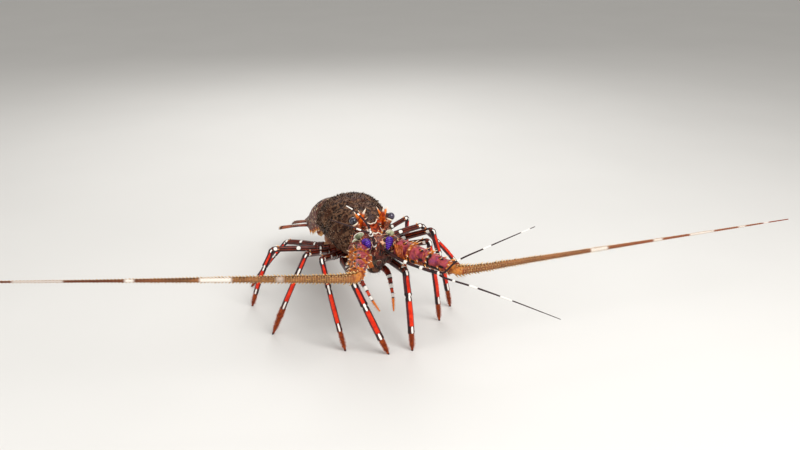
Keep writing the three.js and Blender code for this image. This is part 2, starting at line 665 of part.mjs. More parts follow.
// The breast plate under the carapace, with a flat-faced collar for each leg and mouth leg.
function makeBreast(collars) {
  const stations = [[-32, 8], [-26, 9], [-18, 10.5], [0, 15], [20, 20], [28, 18.5]];
  const rings = stations.map(([y, half]) => {
    const top = bellyAt(y) - GAP;
    const sides = [[1, 0], [1, -4], [0.85, -8], [0.4, -10]];
    const left = sides.map(([wide, drop]) => point(half * wide, y, top + drop));
    const right = sides.map(([wide, drop]) => point(-half * wide, y, top + drop)).reverse();
    return [...left, ...right];
  });
  addNode('breast', 'breast', surfaceOf(fuse([solid(loft(rings)), ...collars])));
}

// One cross section of the tail: arched back, pointed side flaps, shallow hollow underneath.
function tailSection({ centre, upward }, half, height, flap, scale) {
  const at = (x, z) => centre.clone().add(point(x * half * scale, 0, 0)).addScaledVector(upward, z * scale);
  const over = Array.from({ length: 11 }, (_, i) => {
    const angle = (i / 10) * Math.PI;
    return at(Math.sign(Math.cos(angle)) * Math.abs(Math.cos(angle)) ** 0.85, height * Math.sin(angle));
  });
  return [
    ...over, at(-0.96, -flap * 0.6), at(-0.84, -flap), at(-0.66, -flap * 0.72), at(0, -flap * 0.66),
    at(0.66, -flap * 0.72), at(0.84, -flap), at(0.96, -flap * 0.6),
  ];
}

function tailJoint(index) {
  const centre = point(...TAIL_START);
  for (let i = 0; i < index; i += 1) {
    const slope = THREE.MathUtils.degToRad((TAIL_SLOPES[i] + TAIL_SLOPES[i + 1]) / 2);
    centre.add(point(0, Math.cos(slope), -Math.sin(slope)).multiplyScalar(TAIL_LENGTHS[i]));
  }
  const slope = THREE.MathUtils.degToRad(TAIL_SLOPES[index]);
  return {
    centre,
    back: point(0, Math.cos(slope), -Math.sin(slope)),
    upward: point(0, Math.sin(slope), Math.cos(slope)),
  };
}

function makeTail() {
  for (let index = 0; index < TAIL_LENGTHS.length; index += 1) {
    const [front, rear] = [tailJoint(index), tailJoint(index + 1)];
    if (index > 0) {
      front.centre.addScaledVector(front.back, GAP);
    }
    const sections = [[0, 0.93], [0.14, 0.945], [0.22, 1], [0.55, 0.985], [1, 1]].map(([share, scale]) => {
      const frame = {
        centre: front.centre.clone().lerp(rear.centre, share),
        upward: front.upward.clone().lerp(rear.upward, share).normalize(),
      };
      const [half, height, flap] = [TAIL_WIDTHS, TAIL_BACKS, TAIL_FLAPS].map(
        (list) => THREE.MathUtils.lerp(list[index], list[index + 1], share),
      );
      return tailSection(frame, half, height, flap, scale);
    });
    const pieces = [solid(loft(sections)), ...flapSpines(index, front, rear)];
    if (index > 0 && index < 5) {
      pieces.push(...swimmerets(index, front, rear));
    }
    addNode(`abdomen_${index + 1}`, 'tail', surfaceOf(fuse(pieces)));
  }
}

function underTail(index, front, rear, share, x, depth) {
  const [half, flap] = [TAIL_WIDTHS, TAIL_FLAPS].map(
    (list) => THREE.MathUtils.lerp(list[index], list[index + 1], share),
  );
  return front.centre.clone().lerp(rear.centre, share)
    .add(point(x * half, 0, 0)).addScaledVector(front.upward, -flap * depth);
}

// The point of each side flap, hooked back.
function flapSpines(index, front, rear) {
  return [LEFT, RIGHT].map((side) => {
    const root = underTail(index, front, rear, 0.6, side * 0.85, 0.82);
    const downward = front.upward.clone().negate().addScaledVector(front.back, 0.35);
    return spine(root, downward, front.back.clone().multiplyScalar(0.6), FLAP_SPINE, 1.7);
  });
}

// A pair of thin leaf-shaped swimmerets, lying back under the ring.
function swimmerets(index, front, rear) {
  return [LEFT, RIGHT].map((side) => {
    const root = underTail(index, front, rear, 0.3, side * 0.42, 0.6);
    const line = front.back.clone().multiplyScalar(0.6).addScaledVector(front.upward, -1).normalize();
    const sideways = point(1, 0, 0);
    const thick = line.clone().cross(sideways);
    const { length, width, thickness } = SWIMMERET;
    const leaf = [[-0.1, 0.3], [0.3, 0.8], [0.6, 1], [0.85, 0.7], [1, 0.25]].map(([share, wide]) => ring(
      root.clone().addScaledVector(line, share * length), sideways, thick, width * wide, thickness, 6,
    ));
    return solid(loft(leaf));
  });
}

// One ribbed blade of the fan, cut square where it meets the last tail ring.
function blade({ across, drop, splay, length, root, tip }, side) {
  const { centre, back, upward } = tailJoint(TAIL_LENGTHS.length);
  const sideways = point(1, 0, 0);
  const angle = THREE.MathUtils.degToRad(splay * side);
  const ahead = back.clone().multiplyScalar(Math.cos(angle)).addScaledVector(sideways, Math.sin(angle));
  const wide = sideways.clone().multiplyScalar(Math.cos(angle)).addScaledVector(back, -Math.sin(angle));
  const base = centre.clone().addScaledVector(sideways, across * side).addScaledVector(upward, 2 - drop);
  const columns = BLADE_RIBS * 2;
  const rings = [0, 0.08, 0.4, 0.75, 0.93, 1].map((share) => {
    const half = THREE.MathUtils.lerp(root, tip, Math.sin(share * Math.PI * 0.5)) * (share === 1 ? 0.72 : 1);
    const thick = THREE.MathUtils.lerp(BLADE_THICKNESS * 1.4, BLADE_THICKNESS * 0.8, share) / 2;
    const face = (sign) => Array.from({ length: columns + 1 }, (_, i) => {
      const place = (i / columns) * 2 - 1;
      const rib = i % 2 === 1 ? BLADE_RIB : 0;
      const spot = base.clone().addScaledVector(wide, half * place);
      const short = (GAP - spot.clone().sub(centre).dot(back)) / ahead.dot(back);
      const bulge = 1 - place ** 2;
      const reach = short * (1 - share) + length * share * (1 - 0.1 * (1 - bulge));
      return spot.addScaledVector(ahead, reach)
        .addScaledVector(upward, sign * (thick + rib) - 2.5 * share * share * place ** 2);
    });
    return [...face(1), ...face(-1).reverse()];
  });
  return loft(rings);
}

function makeFan() {
  for (const part of FAN) {
    if (part.across === 0) {
      addNode(part.name, 'fan', blade(part, LEFT));
    } else {
      addNode(`${part.name}_left`, 'fan', blade(part, LEFT));
      addNode(`${part.name}_right`, 'fan', blade(part, RIGHT));
    }
  }
}

makeCarapace();
makeHead();
makePlate();
for (const [label, side] of [['left', LEFT], ['right', RIGHT]]) {
  makeHorn(`horn_${label}`, side);
  makeEye(label, side);
  makeAntennule(label, ANTENNULES[label]);
  makeAntenna(label, ANTENNAE[label]);
}
makeMouth();
const mouthCollars = Object.entries(MOUTH_LEGS).map(([label, path]) => makeMouthLeg(label, path));
makeBreast([...LEGS.map(makeLeg), ...mouthCollars]);
makeTail();
makeFan();

// The origin is on the floor, under the middle of the whole model.
const middle = new THREE.Box3().setFromObject(lobster).getCenter(point());
lobster.position.set(-middle.x, -middle.y, 0);

export default lobster;
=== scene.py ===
import math

import bpy
import numpy as np
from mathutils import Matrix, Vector, noise


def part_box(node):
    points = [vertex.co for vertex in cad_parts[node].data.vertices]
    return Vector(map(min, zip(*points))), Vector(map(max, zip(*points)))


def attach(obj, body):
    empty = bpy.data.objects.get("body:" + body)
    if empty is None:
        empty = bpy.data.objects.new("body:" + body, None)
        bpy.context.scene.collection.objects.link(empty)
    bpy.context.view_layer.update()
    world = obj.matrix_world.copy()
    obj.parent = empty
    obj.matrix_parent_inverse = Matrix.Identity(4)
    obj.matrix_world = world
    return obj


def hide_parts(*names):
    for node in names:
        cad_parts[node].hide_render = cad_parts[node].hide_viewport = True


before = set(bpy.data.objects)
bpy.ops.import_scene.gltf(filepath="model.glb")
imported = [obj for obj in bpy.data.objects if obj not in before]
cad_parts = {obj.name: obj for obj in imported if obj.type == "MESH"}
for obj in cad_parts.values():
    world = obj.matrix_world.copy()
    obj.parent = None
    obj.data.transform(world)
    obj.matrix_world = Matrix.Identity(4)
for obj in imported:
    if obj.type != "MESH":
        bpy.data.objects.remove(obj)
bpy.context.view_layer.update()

# The animal stands on a pale matt floor in soft light: one large lamp high on the viewer's right, a
# weaker one on the left, one behind and a pale room round it. Places are millimetres in the animal's
# own frame, whose origin is on the floor under the middle of its back, and at() moves them.
MOUTH_Y = -57.0
CAMERA_PLACE = (-201.5, -671.7, 358.7)
CAMERA_AIM = (20.5, -61.8, 96.4)
CAMERA_LENS = 39.4
LAMP_AIM = (0.0, -40.0, 50.0)
LAMPS = (  # name, place, width, watts
    ("key_lamp", (260.0, -620.0, 780.0), 620.0, 7.6),
    ("fill_lamp", (-720.0, -380.0, 420.0), 800.0, 2.6),
    ("rim_lamp", (160.0, 640.0, 640.0), 600.0, 3.0),
)
ROOM_COLOUR = (1.0, 0.985, 0.96, 1.0)
ROOM_STRENGTH = 0.46
FLOOR_CORNERS = [(-6, -6, 0), (6, -6, 0), (6, 6, 0), (-6, 6, 0)]
mouth_low, mouth_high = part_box("mouth")
ORIGIN = np.array([(mouth_low.x + mouth_high.x) / 2, (mouth_low.y + mouth_high.y) / 2 - MOUTH_Y / 1000, 0.0])
scene = bpy.context.scene


def at(places):
    """Millimetres of the animal's frame as metres of the model's."""
    return np.asarray(places, float) / 1000 + ORIGIN


def aim(thing, place, target):
    """Sets a lamp or camera at a place, looking at a target."""
    thing.location = at(place)
    thing.rotation_euler = Vector(at(target) - at(place)).to_track_quat("-Z", "Y").to_euler()
    scene.collection.objects.link(thing)


camera = bpy.data.objects.new("camera", bpy.data.cameras.new("camera"))
camera.data.lens = CAMERA_LENS
camera.data.clip_start = 0.01
aim(camera, CAMERA_PLACE, CAMERA_AIM)
scene.camera = camera
for lamp_name, place, width, watts in LAMPS:
    lamp = bpy.data.objects.new(lamp_name, bpy.data.lights.new(lamp_name, "AREA"))
    lamp.data.size = width / 1000
    lamp.data.energy = watts
    aim(lamp, place, LAMP_AIM)
scene.world = bpy.data.worlds.new("room")
scene.world.use_nodes = True
background = scene.world.node_tree.nodes["Background"]
background.inputs["Color"].default_value = ROOM_COLOUR
background.inputs["Strength"].default_value = ROOM_STRENGTH
scene.view_settings.view_transform = "Standard"


class Wire:
    """One socket of a node tree. Arithmetic on it adds the Math nodes."""

    def __init__(self, tree, socket):
        self.tree = tree
        self.socket = socket

    def math(self, operation, first, second=0.0):
        return self.tree.add("ShaderNodeMath", {"operation": operation}, {0: first, 1: second})

    def __add__(self, other):
        return self.math("ADD", self, other)

    def __sub__(self, other):
        return self.math("SUBTRACT", self, other)

    def __rsub__(self, other):
        return self.math("SUBTRACT", other, self)

    def __mul__(self, other):
        return self.math("MULTIPLY", self, other)

    def __rmul__(self, other):
        return self.math("MULTIPLY", other, self)

    def __truediv__(self, other):
        return self.math("DIVIDE", self, other)

    def __pow__(self, other):
        return self.math("POWER", self, other)

    def most(self, other):
        return self.math("MAXIMUM", self, other)

    def size(self):
        return self.math("ABSOLUTE", self)

    def sine(self):
        return self.math("SINE", self)

    def step(self, low, high):
        """0 up to low, 1 from high on, smooth between; low may be the larger."""
        sockets = {0: self, 1: low, 2: high, 3: 0.0, 4: 1.0}
        return self.tree.add("ShaderNodeMapRange", {"interpolation_type": "SMOOTHSTEP"}, sockets)

    def band(self, low, high, soft):
        """1 between low and high, 0 outside."""
        return self.step(low - soft, low + soft) * self.step(high + soft, high - soft)

    def other(self, name):
        """Another output of the same node."""
        return Wire(self.tree, self.socket.node.outputs[name])


class Tree:
    """A node tree with one way to add any node: settings first, then values or links of sockets."""

    def __init__(self, nodes):
        self.nodes = nodes

    def add(self, kind, settings=None, sockets=None, output=0):
        made = self.nodes.nodes.new(kind)
        for name, value in (settings or {}).items():
            setattr(made, name, value)
        for name, value in (sockets or {}).items():
            if isinstance(value, Wire):
                self.nodes.links.new(value.socket, made.inputs[name])
            else:
                made.inputs[name].default_value = value
        return Wire(self, made.outputs[output])


def hue(code):
    """A colour written as six hex digits, as the linear colour that a socket takes."""
    parts = [int(code[i:i + 2], 16) / 255 for i in (0, 2, 4)]
    return [p / 12.92 if p <= 0.04045 else ((p + 0.055) / 1.055) ** 2.4 for p in parts] + [1.0]


class Finish(Tree):
    """A material on the standard shader: a ground colour, and layers of others over it."""

    def __init__(self, name, ground, roughness, specular=0.3, varnish=0.0):
        self.material = bpy.data.materials.new(name)
        self.material.use_nodes = True
        super().__init__(self.material.node_tree)
        self.shader = self.nodes.nodes["Principled BSDF"]
        self.shader.inputs["Roughness"].default_value = roughness
        self.shader.inputs["Specular IOR Level"].default_value = specular
        self.shader.inputs["Coat Weight"].default_value = varnish
        self.here = self.add("ShaderNodeTexCoord", output="Object")
        self.colour = ground

    def attribute(self, name, output="Fac"):
        return self.add("ShaderNodeAttribute", {"attribute_name": name}, output=output)

    def place(self):
        """Where a point lies: share along its piece, then cosine and sine round it."""
        split = self.add("ShaderNodeSeparateXYZ", sockets={0: self.attribute("place", "Vector")})
        return split.other("X"), split.other("Y"), split.other("Z")

    def noise(self, scale, detail=2.0, stretch=None):
        where = self.here
        if stretch:
            where = self.add("ShaderNodeMapping", sockets={"Vector": where, "Scale": stretch})
        return self.add("ShaderNodeTexNoise", sockets={"Vector": where, "Scale": scale, "Detail": detail})

    def cells(self, scale):
        """How far a point is from the middle of its cell in a scatter of them."""
        return self.add("ShaderNodeTexVoronoi", sockets={"Vector": self.here, "Scale": scale})

    def veins(self, scale):
        """1 on fine winding lines, 0 beside them."""
        return (self.noise(scale, 1.0) - 0.5).size().step(0.02, 0.01)

    def mix(self, factor, first, second):
        """Between two colours, each a hex code or a wire."""
        first, second = (hue(c) if isinstance(c, str) else c for c in (first, second))
        settings = {"data_type": "RGBA"}
        return self.add("ShaderNodeMix", settings, {0: factor, 6: first, 7: second}, output=2)

    def patches(self, scale, detail, low, high, first, second):
        """Cloudy patches of two colours."""
        return self.mix(self.noise(scale, detail).step(low, high), first, second)

    def lay(self, factor, colour):
        """Adds a layer, seen where its factor is high."""
        self.colour = self.mix(factor, self.colour, colour)
        return self

    def cloud(self, scale, detail, low, high, colour, strength=None):
        """Adds a layer in cloudy patches."""
        factor = self.noise(scale, detail).step(low, high)
        return self.lay(factor if strength is None else factor * strength, colour)

    def done(self, bump=None, depth=0.0002, roughness=None):
        """The material. A bump is a wire, or the scale and detail of a noise."""
        wires = {"Base Color": self.colour, "Roughness": roughness}
        if bump is not None:
            height = self.noise(*bump) if isinstance(bump, tuple) else bump
            wires["Normal"] = self.add("ShaderNodeBump", sockets={"Height": height, "Distance": depth})
        for name, wire in wires.items():
            if wire is not None:
                self.nodes.links.new(wire.socket, self.shader.inputs[name])
        return self.material


floor_mesh = bpy.data.meshes.new("floor")
floor_mesh.from_pydata(FLOOR_CORNERS, [], [(0, 1, 2, 3)])
floor = bpy.data.objects.new("floor", floor_mesh)
scene.collection.objects.link(floor)
floor_finish = Finish("pale_floor", "dcdad6", 0.9)
floor_mesh.materials.append(floor_finish.lay(floor_finish.noise(6.0), "e2e0dc").done())

# The carapace is one arched shell of hard dark chitin with a neck groove, a raised rear hem and
# low warts. It lies over the breast and carries rows of forward spines, small prickles and a felt
# of short bristles.
LEFT, RIGHT = 1, -1
SIDES = (("left", LEFT), ("right", RIGHT))
UP = np.array([0.0, 0.0, 1.0])
FORWARD = np.array([0.0, -1.0, 0.0])
ACROSS = np.array([1.0, 0.0, 0.0])
BACK = (  # half width, y, top
    (17, -50, 96.5), (21, -38, 99.5), (24.8, -24, 102.5), (27, -8, 104), (27.3, 8, 102), (26, 20, 97.5),
    (23.5, 32, 91),
)
BACK_END = 32.0
WIDEST_AT = 0.42
ROUNDNESS = 0.92
TUCK, TUCK_POWER = 0.3, 1.7
BELLY, BELLY_SLOPE = 58.4, 0.095
GROOVE, GROOVE_AT, GROOVE_SWEEP, GROOVE_WIDTH = 0.06, 0.42, 0.1, 0.035
HEM, HEM_AT, HEM_FURROW_AT, HEM_WIDTH = 0.025, 0.945, 0.985, 0.012
WART_HEIGHT = 0.35
SPINE_ROWS = (  # degrees above the side, first and last share of the length, count, first and last height
    (76, 0.14, 0.94, 6, 5.6, 2.6), (58, 0.04, 0.97, 7, 6, 2.6), (40, 0.1, 0.92, 6, 4.8, 2.4),
    (22, 0.03, 0.97, 6, 6.4, 2.4), (3, 0.1, 0.92, 5, 4.6, 2.2), (-28, 0.08, 0.9, 4, 4, 2),
)
SPINE_SHARE = 0.22
SPINE_LEAN = 0.42
SPINE_SUNK = 0.8
SEED_STEP, SEED_LIMIT = 16807, 2147483647
BRISTLE_TILT = 0.3
TUFT_PATCH = 0.003


def unit(vectors):
    return vectors / np.maximum(np.linalg.norm(vectors, axis=-1, keepdims=True), 1e-9)


def peak(values, middle, width):
    """A bell curve, 1 at its middle."""
    return np.exp(-(((values - middle) / width) ** 2))


def lumps(places, scale):
    """Smooth noise at each of many places."""
    found = [noise.noise(Vector(p * scale)) for p in places.reshape(-1, 3)]
    return np.array(found).reshape(places.shape[:-1])


def course(points, t):
    """Places and directions on a smooth line through the points, for knots t from 0 up."""
    p = np.asarray(points, float)
    p = np.vstack([2 * p[0] - p[1], p, 2 * p[-1] - p[-2]])
    t = np.atleast_1d(np.asarray(t, float))
    knot = np.clip(np.floor(t).astype(int), 0, len(points) - 2)
    w = (t - knot)[:, None]
    a, b, c, d = (p[knot + i] for i in range(4))
    ab, bc, cd = (np.maximum(np.linalg.norm(v - u, axis=1, keepdims=True), 1e-6) ** 0.5
                  for u, v in ((a, b), (b, c), (c, d)))
    into = ((b - a) / ab - (c - a) / (ab + bc) + (c - b) / bc) * bc
    out = ((c - b) / bc - (d - b) / (bc + cd) + (d - c) / cd) * bc
    square = 3 * (c - b) - 2 * into - out
    cube = 2 * (b - c) + into + out
    return b + w * (into + w * (square + w * cube)), unit(into + w * (2 * square + 3 * w * cube))


def belly_height(y):
    return BELLY + BELLY_SLOPE * (BACK_END - y)


def shell_point(share, angle):
    """A place on the carapace, for arrays of shares of its length and angles round it."""
    share, angle = np.broadcast_arrays(np.asarray(share, float), np.asarray(angle, float))
    line = course(BACK, share.ravel() * (len(BACK) - 1))[0].reshape(share.shape + (3,))
    half, y, top = line[..., 0], line[..., 1], line[..., 2]
    belly = belly_height(y)
    middle = belly + (top - belly) * WIDEST_AT
    over, aside = np.sin(angle), np.cos(angle)
    neck = peak(share - GROOVE_SWEEP * aside ** 2, GROOVE_AT, GROOVE_WIDTH)
    hem = peak(share, HEM_AT, HEM_WIDTH) - 0.5 * peak(share, HEM_FURROW_AT, HEM_WIDTH)
    groove = 1 - GROOVE * neck - HEM * hem
    above = over >= 0
    tuck = 1 - TUCK * np.maximum(-over, 0) ** TUCK_POWER
    wide = np.where(above, np.abs(aside) ** ROUNDNESS * groove, tuck)
    z = np.where(above, middle + (top - middle) * over * groove, middle + (belly - middle) * -over)
    return np.stack([np.sign(aside) * half * wide, y, z], -1)


def shell_outward(share, angle):
    ahead = shell_point(share + 0.01, angle) - shell_point(share - 0.01, angle)
    around = shell_point(share, angle + 0.02) - shell_point(share, angle - 0.02)
    return unit(np.cross(around, ahead))


def note(mesh, label, values):
    """Keeps a number or a direction with every point of a mesh."""
    kind, field = ("FLOAT", "value") if values.ndim == 1 else ("FLOAT_VECTOR", "vector")
    mesh.attributes.new(label, kind, "POINT").data.foreach_set(field, values.ravel())


def skin(name, rings, along, around, coat=0.0, tall=1.0):
    """A closed skin through rings of places. Every point keeps where it lies on the piece."""
    rows, sides = rings.shape[:2]
    verts = np.vstack([rings.reshape(-1, 3), rings[0].mean(0), rings[-1].mean(0)])
    i, j = np.meshgrid(np.arange(rows - 1), np.arange(sides), indexing="ij")
    k = (j + 1) % sides
    here, ahead = i * sides, (i + 1) * sides
    quads = np.stack([here + j, here + k, ahead + k, ahead + j], -1).reshape(-1, 4)
    side = np.arange(sides)
    after = (side + 1) % sides
    last = (rows - 1) * sides
    caps = [np.stack([after, side, np.full(sides, rows * sides)], -1),
            np.stack([last + side, last + after, np.full(sides, rows * sides + 1)], -1)]
    whole = np.vstack([quads[:, [0, 1, 2]], quads[:, [0, 2, 3]], *caps])
    a, b, c = (verts[whole[:, n]] - verts[0] for n in range(3))
    flip = np.einsum("ij,ij->", a, np.cross(b, c)) < 0
    faces = [f[::-1] if flip else f for f in [*quads.tolist(), *caps[0].tolist(), *caps[1].tolist()]]
    mesh = bpy.data.meshes.new(name)
    mesh.from_pydata(at(verts).tolist(), [], faces)
    mesh.shade_smooth()
    along = np.broadcast_to(np.asarray(along, float).reshape(rows, -1), (rows, sides))
    around = np.broadcast_to(np.asarray(around, float), (rows, sides))
    place = np.stack([along, np.cos(around), np.sin(around)], -1).reshape(-1, 3)
    spread = np.stack([along, (around / (2 * math.pi)) % 1, 0 * along], -1).reshape(-1, 3)
    note(mesh, "place", np.vstack([place, [along[0, 0], 0, 0], [along[-1, 0], 0, 0]]))
    note(mesh, "spread", np.vstack([spread, spread[0], spread[-1]]))
    for label, value in (("coat", coat), ("tall", tall)):
        note(mesh, label, np.append(np.broadcast_to(np.asarray(value, float), (rows, sides)), [0, 0]))
    piece = bpy.data.objects.new(name, mesh)
    scene.collection.objects.link(piece)
    return piece


def settle(piece, slot, material=None, *nodes):
    """Gives a piece its material, hangs it under the root and hides the solids that it stands for. The slot
    is not used.
    """
    if material is not None:
        piece.data.materials.clear()
        piece.data.materials.append(material)
    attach(piece, "root")
    if nodes:
        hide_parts(*nodes)


def group_tree(name, inputs):
    """An empty Geometry Nodes tree with named inputs, and its wires by name."""
    made = bpy.data.node_groups.new(name, "GeometryNodeTree")
    made.interface.new_socket("Geometry", in_out="INPUT", socket_type="NodeSocketGeometry")
    for label, kind in inputs.items():
        made.interface.new_socket(label, in_out="INPUT", socket_type="NodeSocket" + kind)
    made.interface.new_socket("Geometry", in_out="OUTPUT", socket_type="NodeSocketGeometry")
    tree = Tree(made)
    first = tree.add("NodeGroupInput")
    return tree, {label: first.other(label) for label in ["Geometry", *inputs]}


def finished(tree, wire):
    """Ends a tree in its group's output."""
    last = tree.nodes.nodes.new("NodeGroupOutput")
    tree.nodes.links.new(wire.socket, last.inputs[0])
    return tree.nodes


def spine_group():
    """Sets a bent cone on every point, by its aim, lean, length and girth."""
    inputs = {"Sides": "Int", "Steps": "Int", "Bend": "Float", "Finish": "Material"}
    tree, wire = group_tree("spine_growth", inputs)
    sockets = {"Vertices": wire["Sides"], "Side Segments": wire["Steps"], "Radius Top": 0.0,
               "Radius Bottom": 1.0, "Depth": 1.0}
    cone = tree.add("GeometryNodeMeshCone", {"fill_type": "NGON"}, sockets)
    height = tree.add("ShaderNodeSeparateXYZ", sockets={0: tree.add("GeometryNodeInputPosition")}).other("Z")
    shift = tree.add("ShaderNodeCombineXYZ", sockets={0: wire["Bend"] * height * height})
    bent = tree.add("GeometryNodeSetPosition", sockets={"Geometry": cone, "Offset": shift})
    named = tree.add("GeometryNodeStoreNamedAttribute", {"data_type": "FLOAT", "domain": "POINT"},
                     {"Geometry": bent, "Name": "reach", "Value": height})
    kinds = {"aim": "FLOAT_VECTOR", "lean": "FLOAT_VECTOR", "length": "FLOAT", "girth": "FLOAT"}
    read = {label: tree.add("GeometryNodeInputNamedAttribute", {"data_type": kind}, {"Name": label})
            for label, kind in kinds.items()}
    upright = tree.add("FunctionNodeAlignRotationToVector", {"axis": "Z"}, {"Vector": read["aim"]})
    turned = tree.add("FunctionNodeAlignRotationToVector", {"axis": "X", "pivot_axis": "Z"},
                      {"Rotation": upright, "Vector": read["lean"]})
    size = tree.add("ShaderNodeCombineXYZ", sockets={0: read["girth"], 1: read["girth"], 2: read["length"]})
    grown = tree.add("GeometryNodeInstanceOnPoints", sockets={
        "Points": wire["Geometry"], "Instance": named, "Rotation": turned, "Scale": size})
    real = tree.add("GeometryNodeRealizeInstances", sockets={"Geometry": grown})
    done = tree.add("GeometryNodeSetMaterial", sockets={"Geometry": real, "Material": wire["Finish"]})
    return finished(tree, done)


SPINE_GROUP = spine_group()


def scatter_group():
    """Grows cones over a skin, thick where its coat is high and long where its tall is."""
    inputs = {"Apart": "Float", "Density": "Float", "Seed": "Int", "Short": "Float", "Long": "Float",
              "Girth": "Float", "Lie": "Vector", "Sides": "Int", "Steps": "Int", "Bend": "Float",
              "Finish": "Material"}
    tree, wire = group_tree("scatter_growth", inputs)
    coat = tree.add("GeometryNodeInputNamedAttribute", {"data_type": "FLOAT"}, {"Name": "coat"})
    points = tree.add("GeometryNodeDistributePointsOnFaces", {"distribute_method": "POISSON"}, {
        "Mesh": wire["Geometry"], "Distance Min": wire["Apart"], "Density Max": wire["Density"],
        "Density Factor": coat, "Seed": wire["Seed"]})
    normal = points.other("Normal")
    low, high = (-BRISTLE_TILT,) * 3, (BRISTLE_TILT,) * 3
    random_tilt = {0: low, 1: high, "Seed": 5}
    spread = tree.add("FunctionNodeRandomValue", {"data_type": "FLOAT_VECTOR"}, random_tilt)
    tilted = tree.add("ShaderNodeVectorMath", {"operation": "ADD"}, {0: normal, 1: wire["Lie"]})
    tilted = tree.add("ShaderNodeVectorMath", {"operation": "ADD"}, {0: tilted, 1: spread})
    tall = tree.add("GeometryNodeInputNamedAttribute", {"data_type": "FLOAT"}, {"Name": "tall"})
    random_length = {2: wire["Short"], 3: wire["Long"], "Seed": 11}
    length = tall * tree.add("FunctionNodeRandomValue", {"data_type": "FLOAT"}, random_length, output=1)
    geometry = points
    for label, kind, value in (("aim", "FLOAT_VECTOR", tilted), ("lean", "FLOAT_VECTOR", wire["Lie"]),
                               ("length", "FLOAT", length), ("girth", "FLOAT", wire["Girth"])):
        geometry = tree.add("GeometryNodeStoreNamedAttribute", {"data_type": kind, "domain": "POINT"},
                            {"Geometry": geometry, "Name": label, "Value": value})
    grown = tree.add("GeometryNodeGroup", {"node_tree": SPINE_GROUP}, {
        "Geometry": geometry, "Sides": wire["Sides"], "Steps": wire["Steps"], "Bend": wire["Bend"],
        "Finish": wire["Finish"]})
    return finished(tree, grown)


SCATTER_GROUP = scatter_group()


def grow(name, group, mesh, **values):
    """Runs a tree once on a mesh and keeps the result as a plain mesh with a map of its roots."""
    piece = bpy.data.objects.new(name, mesh)
    scene.collection.objects.link(piece)
    modifier = piece.modifiers.new("growth", "NODES")
    modifier.node_group = group
    for item in group.interface.items_tree:
        if item.in_out == "INPUT" and item.name in values:
            modifier[item.identifier] = values[item.name]
    graph = bpy.context.evaluated_depsgraph_get()
    whole = {"preserve_all_data_layers": True, "depsgraph": graph}
    made = bpy.data.meshes.new_from_object(piece.evaluated_get(graph), **whole)
    piece.modifiers.clear()
    piece.data = made
    made.name = name
    if "spread" in made.attributes:
        count = len(made.vertices)
        spread, reach = np.zeros(count * 3), np.zeros(count)
        made.attributes["spread"].data.foreach_get("vector", spread)
        made.attributes["reach"].data.foreach_get("value", reach)
        corner = np.zeros(len(made.loops), int)
        made.loops.foreach_get("vertex_index", corner)
        turn = np.arange(len(corner)) % 3 / 2
        patch = np.stack([reach[corner], turn], -1) * TUFT_PATCH
        root_map = made.uv_layers.new(name="OFBake")
        root_map.data.foreach_set("uv", (spread.reshape(-1, 3)[corner, :2] + patch).ravel())
    return piece


def spines(name, slot, material, roots, aims, leans, lengths, girths, sides=7, steps=5, bend=1.1):
    """Bent spines on given roots; sizes in millimetres, the bend in girths."""
    count = len(roots)
    mesh = bpy.data.meshes.new(name + "_roots")
    mesh.from_pydata(at(roots).tolist(), [], [])
    for label, value in (("aim", aims), ("lean", leans)):
        note(mesh, label, np.broadcast_to(np.asarray(value, float), (count, 3)))
    for label, value in (("length", lengths), ("girth", girths)):
        note(mesh, label, np.broadcast_to(np.asarray(value, float), (count,)) / 1000)
    piece = grow(name, SPINE_GROUP, mesh, Sides=sides, Steps=steps, Bend=bend, Finish=material)
    piece.data.shade_smooth()
    settle(piece, slot)


def bristles(name, slot, material, carrier, apart, short, long, girth, lie, seed, sides=3, steps=2, bend=1.0):
    """Scattered prickles or bristles over a skin; sizes in millimetres, the bend in girths."""
    density = 1.1e6 / apart ** 2
    piece = grow(name, SCATTER_GROUP, carrier.data.copy(), Apart=apart / 1000, Density=density, Seed=seed,
                 Short=short / 1000, Long=long / 1000, Girth=girth / 1000, Lie=tuple(lie), Sides=sides,
                 Steps=steps, Bend=bend, Finish=material)
    settle(piece, slot)


def graded(name, ground, roughness, *layers):
    """A material for spines and bristles, whose colour changes from root to tip."""
    finish = Finish(name, ground, roughness)
    reach = finish.attribute("reach")
    for low, high, colour in layers:
        finish.lay(reach.step(low, high), colour)
    return finish.done()


def speckled(name, low, high, pale):
    """A dull material for dark bristles, of which patches turn pale towards the tip."""
    finish = Finish(name, "24140c", 0.8, specular=0.08)
    tips = finish.patches(330.0, 2.0, 0.47, 0.57, "2c1a10", pale)
    return finish.lay(finish.attribute("reach").step(low, high), tips).done()


def draws(seed):
    """An endless, repeatable row of numbers from -1 to 1."""
    while True:
        seed = seed * SEED_STEP % SEED_LIMIT
        yield seed / SEED_LIMIT * 2 - 1


DRAWS = draws(20417)


def vary(amount):
    """A small draw round 1."""
    return 1 + amount * next(DRAWS)


